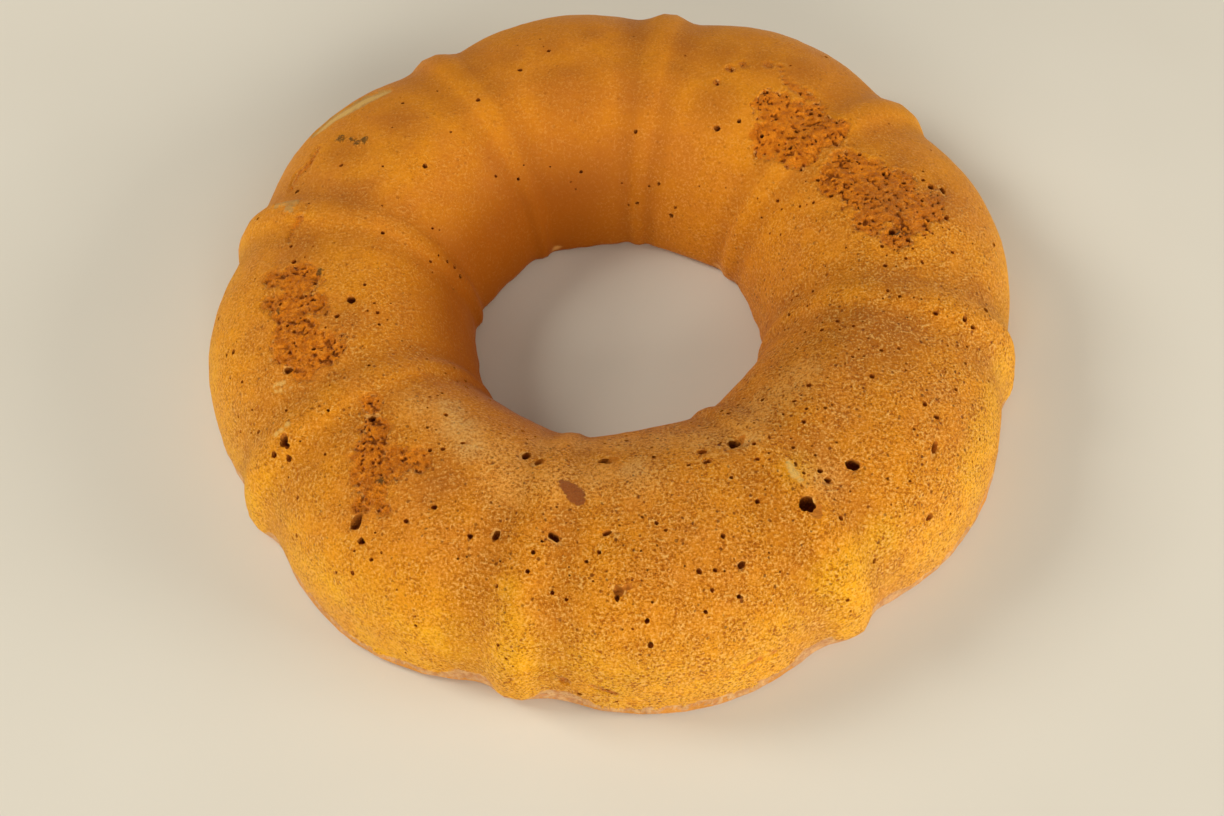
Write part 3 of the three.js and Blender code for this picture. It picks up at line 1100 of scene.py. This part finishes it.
# %% Where the crust is porous, and where the hole is dark
NEAR_SIDE = (-70, 50)
LEFT_SIDE = (10, 70)
RIGHT_SIDE = (10, 90)
RIGHT_NEAR_SIDE = (-60, 20)
LEFT_SMOOTH = 0.35
RIGHT_POROUS = 0.8
OUTER_RANGE = (CROWN_RADIUS - 12, CROWN_RADIUS + 18)
HOLE_RANGE = (22, 47)
DARKEST_ANGLE = 165
FACING_RANGE = (-0.5, 0.6)
HOLE_LEAST = 0.1
HOLE_SPREAD = 0.9

right, near, high = plain[:, 0], -plain[:, 1], plain[:, 2]
near_side = eased(near, *NEAR_SIDE) * (1 - LEFT_SMOOTH * eased(-right, *LEFT_SIDE))
right_side = eased(right, *RIGHT_SIDE) * eased(near, *RIGHT_NEAR_SIDE)
porous = np.maximum(near_side, RIGHT_POROUS * right_side)
outer = eased(radius, *OUTER_RANGE)
# The hole's wall is darker low down and darkest on the left and far side, turned from the left window:
# partly deeper browning in the tube, partly painted shade.
facing = eased(np.cos(np.radians(angle - DARKEST_ANGLE)), *FACING_RANGE)
hole = (1 - outer) * (1 - eased(high, *HOLE_RANGE)) * (HOLE_LEAST + HOLE_SPREAD * facing)
print("mean share of porous crust:", round(porous.mean(), 2), "and of dark hole:", round(hole.mean(), 2))

# %% Write the masks to the mesh
FAR_SIDE = (10, 90)
# painted shade: the far side is made browner, as it is turned from the windows
FAR_SIDE_SHADE = 0.4
POROUS_LEAST = 0.25
POROUS_SPREAD = 0.75
HOLE_SMOOTH = 0.8
TORN_RANGE = (-1.8, 1.2)
DEEPEST = 3
WALL_RANGE = (14, 43)
VALLEY_RANGE = (1.6, 3.6)


def patch_mask(patches, soft):
    """1 well inside some patches and 0 well outside, over an edge of so many millimetres each way."""
    edge, _ = nearest_edge(plain, *on_crust(patches))
    return 1 - eased(edge, -soft, soft)


masks = {
    # browner patches, with painted shade along the far side
    "browned_and_shaded": np.maximum(patch_mask(BROWN_AND_SHADED_PATCHES, soft=7), FAR_SIDE_SHADE * eased(-near, *FAR_SIDE)),
    "golden": patch_mask(GOLD_AND_LIT_PATCHES, soft=4),
    "dust_and_light": patch_mask(DUST_AND_LIGHT_PATCHES, soft=6),
    "porous": (POROUS_LEAST + POROUS_SPREAD * porous) * (1 - HOLE_SMOOTH * hole),
    "torn": 1 - eased(torn_edge(plain), *TORN_RANGE),
    "below": np.clip(below, 0, DEEPEST),
    "wall": outer * (1 - eased(high, *WALL_RANGE)),
    "hole": hole,
    "valley": eased(-fluting(around), *VALLEY_RANGE),
}
for name, values in masks.items():
    attribute = cut_mesh.attributes.new(name, "FLOAT", "POINT")
    attribute.data.foreach_set("value", np.asarray(values, dtype=np.float32))
print({name: round(float(values.mean()), 3) for name, values in masks.items()})

# %% [markdown]
# ## Shared effects
# Crust and open crumb are the same baked dough, so the fine grain of the crumb, with pale grains and
# pinholes under a millimetre, is one node group that both materials use. The slow mottling of
# browning is only the crust's, but as a group of its own it keeps that material short. Both groups
# put out plain masks, and each material mixes them its own way.

# %% The mottling of browning
MOTTLE_SIZES = (("Broad", 0.03, 3.0), ("Patches", 0.11, 4.0), ("Flecks", 0.45, 3.0))
MOTTLE_ROUGHNESS = 0.55
MOTTLE_RANGE = (0.34, 0.66)


def new_group(name, inputs, outputs):
    """A shader node group with named sockets, and its two end nodes."""
    group = bpy.data.node_groups.new(name, "ShaderNodeTree")
    for socket, kind in inputs.items():
        group.interface.new_socket(socket, in_out="INPUT", socket_type=kind)
    for socket in outputs:
        group.interface.new_socket(socket, in_out="OUTPUT", socket_type="NodeSocketFloat")
    return group, group.nodes.new("NodeGroupInput"), group.nodes.new("NodeGroupOutput")


def ramp(tree, value, low, high, to_low=0.0, to_high=1.0):
    """A value eased from to_low to to_high as it goes from low to high."""
    inputs = {
        "Value": value,
        "From Min": low,
        "From Max": high,
        "To Min": to_low,
        "To Max": to_high,
    }
    made = add_node(tree, "ShaderNodeMapRange", inputs, interpolation_type="SMOOTHSTEP")
    return made.outputs["Result"]


mottle_outputs = [name for name, _, _ in MOTTLE_SIZES]
mottle_group, start, end = new_group("baked_mottle", {"Place": "NodeSocketVector"}, mottle_outputs)
for name, scale, detail in MOTTLE_SIZES:
    inputs = {"Vector": start.outputs["Place"], "Scale": scale, "Detail": detail}
    inputs["Roughness"] = MOTTLE_ROUGHNESS
    cloud = add_node(mottle_group, "ShaderNodeTexNoise", inputs).outputs[0]
    mottle_group.links.new(ramp(mottle_group, cloud, *MOTTLE_RANGE), end.inputs[name])
print("group", mottle_group.name, "puts out", mottle_outputs)

# %% Textures of the crumb's grain
ROUGH_PER_MM = 1.3
ROUGH_DETAIL = 3.0
ROUGH_ROUGHNESS = 0.7
WARP = (0.9, 0.9, 0.9)
CLUSTERS_PER_MM = 0.16
CLUSTER_DETAIL = 2.0

grain_inputs = {"Place": "NodeSocketVector", "Open": "NodeSocketFloat"}
grain_outputs = ("Pits", "Specks", "Grains", "Dusting", "Height")
grain_group, start, end = new_group("crumb_grain", grain_inputs, grain_outputs)
place = start.outputs["Place"]
inputs = {"Vector": place, "Scale": ROUGH_PER_MM, "Detail": ROUGH_DETAIL, "Roughness": ROUGH_ROUGHNESS}
rough_noise = add_node(grain_group, "ShaderNodeTexNoise", inputs)
rough = rough_noise.outputs[0]
inputs = {0: rough_noise.outputs["Color"], 1: WARP, 2: place}
warped = add_node(grain_group, "ShaderNodeVectorMath", inputs, operation="MULTIPLY_ADD").outputs[0]
inputs = {"Vector": place, "Scale": CLUSTERS_PER_MM, "Detail": CLUSTER_DETAIL}
cluster = add_node(grain_group, "ShaderNodeTexNoise", inputs).outputs[0]
print("grains of about", round(1 / ROUGH_PER_MM, 2), "mm")

# %% Masks of the crumb's grain
LOWS = (0.485, 0.385)
TOPS = (0.52, 0.64)
ROUGH_RISE = 1.3
DOT_RISE = -0.15
SOFT_SHARE = 0.1
SOFT_LEAST = 0.05
GRAIN_CLUSTERS = (0.3, 0.65)
GRAIN_LEAST = 0.6
DUSTING_RANGE = (0.36, 0.62)
DUSTING_LEAST = 0.2


def calculate(tree, operation, *values):
    """One step of arithmetic on some values."""
    return add_node(tree, "ShaderNodeMath", dict(enumerate(values)), operation=operation).outputs[0]


def pinholes(tree, place, cells_per_mm, share, smallest, largest):
    """Round dots of uneven size, in a share of the cells; sizes are radii in cells."""
    inputs = {"Vector": place, "Scale": cells_per_mm, "Randomness": 1.0}
    cells = add_node(tree, "ShaderNodeTexVoronoi", inputs).outputs
    inputs = {"Color": cells["Color"]}
    own_number = add_node(tree, "ShaderNodeSeparateColor", inputs).outputs[0]
    inputs = {"Value": own_number, "From Min": 1 - share, "To Min": smallest, "To Max": largest}
    radius = add_node(tree, "ShaderNodeMapRange", inputs, clamp=False).outputs["Result"]
    soft = SOFT_SHARE * largest + SOFT_LEAST
    return ramp(tree, calculate(tree, "SUBTRACT", cells["Distance"], radius), soft, -soft)


tree = grain_group
clustered = ramp(tree, cluster, *GRAIN_CLUSTERS, to_low=GRAIN_LEAST)
openness = calculate(tree, "MULTIPLY", clustered, start.outputs["Open"])
dots = pinholes(tree, warped, cells_per_mm=0.75, share=0.5, smallest=0.1, largest=0.36)
specks = pinholes(tree, warped, cells_per_mm=0.45, share=0.8, smallest=0.08, largest=0.22)
sunk = calculate(tree, "MULTIPLY", calculate(tree, "ADD", dots, specks), DOT_RISE)
open_masks = {
    "Pits": calculate(tree, "MAXIMUM", ramp(tree, rough, *LOWS), dots),
    "Specks": specks,
    "Grains": ramp(tree, rough, *TOPS),
    "Height": calculate(tree, "MULTIPLY_ADD", rough, ROUGH_RISE, sunk),
}
for name, socket in open_masks.items():
    tree.links.new(calculate(tree, "MULTIPLY", socket, openness), end.inputs[name])
dusting = ramp(tree, rough, *DUSTING_RANGE, to_low=DUSTING_LEAST)
tree.links.new(dusting, end.inputs["Dusting"])
print("group", grain_group.name, "puts out", grain_outputs)

# %% [markdown]
# ## The baked crust
# The skin goes from gold on the walls to orange brown on the crown, with satin patches where it lay
# against the mould. One painted picture would be quicker, but it would not carry over to another
# cake. So colours are laid over each other by masks, much as a baker would see them come: browning
# first, with painted shade in the valleys, in the hole and along the far side and painted light on
# some golden and floury patches, then the torn crumb with its grain, pinholes and painted shade in
# its crevices, and last the foot, fruit and flour.

# %% Browning of the skin
WALL_GOLD = tone(248, 183, 26)
CROWN_BROWN = tone(230, 147, 31)
SATIN_BROWN = tone(202, 119, 41)
BRIGHT_AMBER = tone(232, 148, 10)
HOLE_BROWN_AND_SHADE = tone(158, 84, 4)
BROWNING_AND_SHADE = tone(170, 97, 32)
DUST_AND_LIGHT_TAN = tone(246, 173, 80)
SATIN_ON_CROWN = 0.5
SATIN_ON_WALL = 0.2
Layer = namedtuple("Layer", "mask share colour")


def mesh_mask(tree, name):
    """A mask that was written to the mesh."""
    return add_node(tree, "ShaderNodeAttribute", {}, attribute_name=name).outputs["Fac"]


def lay_all(tree, colour, layers):
    """Colours laid one after another over a first one, each by a share of its mask."""
    for layer in layers:
        cover = calculate(tree, "MULTIPLY", layer.mask, layer.share)
        colour = lay_over(tree, cover, colour, layer.colour)
    return colour


tree = crust_tree
place = place_in_mm(tree)
inputs = {"Place": place, "Open": mesh_mask(tree, "porous")}
grain = add_node(tree, "ShaderNodeGroup", inputs, node_tree=grain_group).outputs
mottle = add_node(tree, "ShaderNodeGroup", {"Place": place}, node_tree=mottle_group).outputs
wall = mesh_mask(tree, "wall")
valley = mesh_mask(tree, "valley")
satin_share = ramp(tree, wall, 0.0, 1.0, to_low=SATIN_ON_CROWN, to_high=SATIN_ON_WALL)
browning = (
    Layer(mask=wall, share=1.0, colour=WALL_GOLD),
    Layer(mask=mottle["Broad"], share=satin_share, colour=SATIN_BROWN),
    Layer(mask=mottle["Patches"], share=0.45, colour=BRIGHT_AMBER),
    Layer(mask=mottle["Flecks"], share=0.22, colour=SATIN_BROWN),
    # painted shade: the valleys between the lobes are darker brown
    Layer(mask=valley, share=0.35, colour=BROWNING_AND_SHADE),
    # the hole's deeper browning, with painted shade low down and on the side turned from the light
    Layer(mask=mesh_mask(tree, "hole"), share=1.0, colour=HOLE_BROWN_AND_SHADE),
    # golden patches, partly painted light on the right wall and the ribs' lit sides
    Layer(mask=mesh_mask(tree, "golden"), share=0.5, colour=WALL_GOLD),
    # flour dust round the near rim of the hole, partly painted light
    Layer(mask=mesh_mask(tree, "dust_and_light"), share=0.65, colour=DUST_AND_LIGHT_TAN),
)
colour = lay_all(tree, CROWN_BROWN, browning)
print("layers of browning:", len(browning))

# %% Torn crumb, grain and pinholes
PALE_GRAIN = tone(255, 199, 112)
# Pinholes too small for the mesh are painted dark: partly their darker crumb, partly painted shade in
# the hole.
PIT_BROWN_AND_SHADE = tone(176, 92, 0)
SPECK_SHADE_BROWN = tone(104, 42, 2)
TORN_AMBER = tone(234, 137, 22)
TORN_BROWN = tone(198, 108, 14)
# Painted shade: torn crumb is darker the deeper it lies, as its crevices fall into shade.
CREVICE_SHADE_BROWN = tone(108, 48, 6)
DUSTING_MEAN = 0.6
FRAYING = 0.6
TORN_FADE = (0.3, 0.7)
MOUTH_DEPTHS = (0.28, 0.5)
CREVICE_DEPTHS = (0.5, 1.15)

frayed = calculate(tree, "SUBTRACT", grain["Dusting"], DUSTING_MEAN)
frayed = calculate(tree, "MULTIPLY_ADD", frayed, FRAYING, mesh_mask(tree, "torn"))
torn = ramp(tree, frayed, *TORN_FADE)
whole = calculate(tree, "SUBTRACT", 1.0, torn)
depth = mesh_mask(tree, "below")
grain_share = ramp(tree, torn, 0.0, 1.0, to_low=0.75, to_high=0.3)
speck_share = ramp(tree, wall, 0.0, 1.0, to_low=0.9, to_high=0.35)
mouth_highlight = ramp(tree, depth, *MOUTH_DEPTHS, to_high=0.5)
crevice_shade = ramp(tree, depth, *CREVICE_DEPTHS, to_high=0.75)
crumbly = lay_over(tree, mottle["Flecks"], TORN_BROWN, TORN_AMBER)
crumb_layers = (
    Layer(mask=torn, share=1.0, colour=crumbly),
    # browner patches and the far side's painted shade, in one deep brown
    Layer(mask=mesh_mask(tree, "browned_and_shaded"), share=0.6, colour=BROWNING_AND_SHADE),
    Layer(mask=grain["Grains"], share=grain_share, colour=PALE_GRAIN),
    # grain lows and pinholes, the pinholes partly painted shade
    Layer(mask=grain["Pits"], share=0.95, colour=PIT_BROWN_AND_SHADE),
    # specks: pinholes, partly painted shade
    Layer(mask=grain["Specks"], share=speck_share, colour=SPECK_SHADE_BROWN),
    # painted highlight with thin pale crust: the skin sunk round a bubble's mouth is paler
    Layer(mask=whole, share=mouth_highlight, colour=PALE_GRAIN),
    # painted shade in the crevices of the torn crumb, by depth
    Layer(mask=torn, share=crevice_shade, colour=CREVICE_SHADE_BROWN),
)
colour = lay_all(tree, colour, crumb_layers)
print("layers of torn crumb and grain:", len(crumb_layers))

# %% [markdown]
# ## The foot of the crust
# A pale line of floury dough runs round the cake where the crust ends, just above the base, and the
# band below it is tan. The line wanders up and down, and is high and wide in the valleys. It is too
# thin for relief, so it is colour alone, laid by height with slow noise to make it wander.

# %% Colour the foot
LINE_CREAM = tone(226, 182, 132)
LINE_PINK = tone(200, 142, 98)
FOOT_TAN = tone(220, 148, 64)
OUTSIDE_RANGE = (0.5, 0.7)
WANDER_PER_MM = 0.22
WANDER_DETAIL = 3.0
WANDER_RANGE = (0.3, 0.7)
LINE_HEIGHTS = (2.2, 4.2)
VALLEY_LIFT = 1.8
LINE_HALVES = (0.6, 2.8)
LINE_FRAYING = 0.8
LINE_EDGE = (0.5, -0.3)
LINE_SHARE = 0.95
FLOURY_RANGE = (0.2, 0.9)
FLOURY_LEAST = 0.5
FOOT_EDGE = (0.1, -0.3)

outside = ramp(tree, wall, *OUTSIDE_RANGE)
height = add_node(tree, "ShaderNodeSeparateXYZ", {0: place}).outputs["Z"]
inputs = {"Vector": place, "Scale": WANDER_PER_MM, "Detail": WANDER_DETAIL}
wander = add_node(tree, "ShaderNodeTexNoise", inputs).outputs[0]
line_height = ramp(tree, wander, *WANDER_RANGE, *LINE_HEIGHTS)
line_height = calculate(tree, "ADD", line_height, ramp(tree, valley, 0.0, 1.0, to_high=VALLEY_LIFT))
above_line = calculate(tree, "SUBTRACT", height, line_height)
above_line = calculate(tree, "MULTIPLY_ADD", grain["Dusting"], LINE_FRAYING, above_line)
line_half = ramp(tree, valley, 0.0, 1.0, *LINE_HALVES)
line_edge = calculate(tree, "SUBTRACT", calculate(tree, "ABSOLUTE", above_line), line_half)
line = ramp(tree, line_edge, *LINE_EDGE, to_high=LINE_SHARE)
line = calculate(tree, "MULTIPLY", line, outside)
floury = ramp(tree, grain["Dusting"], *FLOURY_RANGE, to_low=FLOURY_LEAST)
mottled_line = lay_over(tree, mottle["Flecks"], LINE_CREAM, LINE_PINK)
foot_layers = (
    Layer(mask=outside, share=ramp(tree, above_line, *FOOT_EDGE), colour=FOOT_TAN),
    Layer(mask=line, share=floury, colour=mottled_line),
)
colour = lay_all(tree, colour, foot_layers)
print("foot line between", *LINE_HEIGHTS, "mm up on the lobes")

# %% [markdown]
# ## Marks on the crust
# A brown piece of fruit shows in the near crown, flour clings in streaks and in a thin haze, and the
# strip, the flake and the dark crumbs that were shaped above get their colours. Each is a few spots
# at a place in space, so that its edge stays sharp however large the faces are, and the mottling
# and grain fray that edge.

# %% Place the marks
FRUIT_SPOTS = (
    Spot(across=562, down=482, radius=0.9),
    Spot(across=566, down=486, radius=1.7),
    Spot(across=571, down=490, radius=2.2),
    Spot(across=576, down=495, radius=2.4),
    Spot(across=580, down=501, radius=1.5),
)
FLOUR_STREAKS = (
    *trail(Spot(across=789, down=463, radius=0.7), Spot(across=795, down=474, radius=1.0), 4),
    Spot(across=800, down=480, radius=0.6),
    Spot(across=806, down=486, radius=0.4),
    Spot(across=287, down=424, radius=0.6),
    Spot(across=281, down=430, radius=0.6),
    Spot(across=276, down=434, radius=0.6),
    *trail(Spot(across=274, down=386, radius=0.3), Spot(across=284, down=382, radius=0.5), 4),
    *trail(Spot(across=276, down=391, radius=0.3), Spot(across=290, down=389, radius=0.4), 4),
)
FLOUR_HAZE = (
    Spot(across=628, down=470, radius=1.6),
    Spot(across=638, down=466, radius=2.0),
    Spot(across=753, down=437, radius=1.8),
    Spot(across=452, down=408, radius=4.0),
    Spot(across=462, down=428, radius=5.0),
    Spot(across=470, down=447, radius=4.0),
)
STRIP_CORE = 0.55
strip_middle = [spot._replace(radius=STRIP_CORE * spot.radius) for spot in PEELED_STRIP]
print("spots:", len(FRUIT_SPOTS), "fruit,", len(FLOUR_STREAKS), "streaks,", len(FLOUR_HAZE), "haze")

# %% Colour the marks
FRUIT_BROWN = tone(152, 82, 38)
FLOUR_CREAM = tone(230, 190, 122)
STREAK_CREAM = tone(240, 200, 118)
STRIP_CREAM = tone(226, 182, 104)
FLAKE_TAN = tone(196, 150, 84)
CRUMB_OLIVE = tone(84, 62, 26)
RAG_MEAN = 1.1

rag = calculate(tree, "ADD", mottle["Flecks"], grain["Dusting"])
rag = calculate(tree, "SUBTRACT", rag, RAG_MEAN)


def spots_edge(spots):
    """Distance in millimetres to the edge of the nearest of some spots, below zero inside it."""
    nearest = None
    for spot in spots:
        inputs = {0: place, 1: crust_at_pixel(spot.across, spot.down)}
        away = add_node(tree, "ShaderNodeVectorMath", inputs, operation="DISTANCE").outputs["Value"]
        edge = calculate(tree, "SUBTRACT", away, spot.radius)
        nearest = edge if nearest is None else calculate(tree, "MINIMUM", nearest, edge)
    return nearest


def mark(colour, spots, soft, share, ragged=1.0, thinned=1.0):
    """A layer of colour on ragged spots, with an edge as soft as so many millimetres."""
    edge = calculate(tree, "MULTIPLY_ADD", rag, ragged, spots_edge(spots))
    return Layer(mask=ramp(tree, edge, soft, -soft, to_high=share), share=thinned, colour=colour)


marks = (
    mark(FLAKE_TAN, PEELED_STRIP, soft=0.6, share=0.85),
    mark(STRIP_CREAM, strip_middle, soft=0.6, share=0.9),
    mark(FLAKE_TAN, LIFTED_FLAKE, soft=0.4, share=0.8),
    mark(CRUMB_OLIVE, DARK_CRUMBS, soft=0.5, share=0.85),
    mark(FRUIT_BROWN, FRUIT_SPOTS, soft=0.25, share=0.92, ragged=0.3),
    mark(STREAK_CREAM, FLOUR_STREAKS, soft=0.5, share=0.65, ragged=0.6),
    mark(FLOUR_CREAM, FLOUR_HAZE, soft=3.0, share=0.45, thinned=grain["Dusting"]),
)
colour = lay_all(tree, colour, marks)
tree.links.new(colour, crust_shader.inputs["Base Color"])
print("marks on the crust:", len(marks))

# %% [markdown]
# ## Gloss and grain of the crust
# Baked skin is dull, a little smoother where it lay against the mould and rougher where it tore. The
# grain under a millimetre is too fine for the mesh, so a bump takes it over from the relief. The
# shader's plain values are set on its own sockets, because an export would drop them if linked.

# %% Finish the crust
DULL_ROUGHNESS = 0.78
SATIN_ROUGHNESS = 0.58
TORN_BUMP = 0.1
CRUST_VALUES = {"Specular IOR Level": 0.1, "Sheen Weight": 0.1, "Sheen Roughness": 0.3}

satin = calculate(tree, "SUBTRACT", mottle["Broad"], torn)
roughness = ramp(tree, satin, 0.0, 1.0, to_low=DULL_ROUGHNESS, to_high=SATIN_ROUGHNESS)
tree.links.new(roughness, crust_shader.inputs["Roughness"])
torn_dusting = calculate(tree, "MULTIPLY", grain["Dusting"], torn)
skin = calculate(tree, "MULTIPLY_ADD", torn_dusting, TORN_BUMP, grain["Height"])
bump = add_node(tree, "ShaderNodeBump", {"Height": skin, "Distance": MM, "Strength": 1.0})
tree.links.new(bump.outputs["Normal"], crust_shader.inputs["Normal"])
for name, value in CRUST_VALUES.items():
    crust_shader.inputs[name].default_value = value
print("crust nodes:", len(tree.nodes))

# %% [markdown]
# ## The open crumb
# Inside a bubble the crumb is moist and darker, and the light hardly reaches its floor. The hollow
# already shades itself, yet the material also goes from brown at the rim to dark brown below, partly
# moist crumb and partly painted shade, with the same grain as the crust.

# %% Crumb material
RIM_BROWN = tone(206, 128, 44)
DEEP_CRUMB_AND_SHADE = tone(112, 54, 10)
DARK_RANGE = (0.4, 2.8)
CRUMB_DULL = 0.85
CRUMB_MOIST = 0.7
CRUMB_BUMP = 0.8
CRUMB_SPECULAR = 0.1

tree = crumb_tree
inputs = {"Place": place_in_mm(tree), "Open": 1.0}
grain = add_node(tree, "ShaderNodeGroup", inputs, node_tree=grain_group).outputs
# painted shade and moist crumb: darker the deeper it lies
dark = ramp(tree, mesh_mask(tree, "below"), *DARK_RANGE)
crumb_layers = (
    Layer(mask=dark, share=1.0, colour=DEEP_CRUMB_AND_SHADE),
    Layer(mask=grain["Grains"], share=0.3, colour=TORN_AMBER),
)
tree.links.new(lay_all(tree, RIM_BROWN, crumb_layers), crumb_shader.inputs["Base Color"])
roughness = ramp(tree, grain["Grains"], 0.0, 1.0, to_low=CRUMB_DULL, to_high=CRUMB_MOIST)
tree.links.new(roughness, crumb_shader.inputs["Roughness"])
inputs = {"Height": grain["Height"], "Distance": MM, "Strength": CRUMB_BUMP}
bump = add_node(tree, "ShaderNodeBump", inputs)
tree.links.new(bump.outputs["Normal"], crumb_shader.inputs["Normal"])
crumb_shader.inputs["Specular IOR Level"].default_value = CRUMB_SPECULAR
print("crumb nodes:", len(tree.nodes))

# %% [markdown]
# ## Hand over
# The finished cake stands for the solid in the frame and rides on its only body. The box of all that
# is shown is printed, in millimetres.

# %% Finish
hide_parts("cake")
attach(cake, "root")
bpy.context.view_layer.update()
low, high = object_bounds()
print("visual box in mm:", [round(side / MM, 1) for side in high - low])
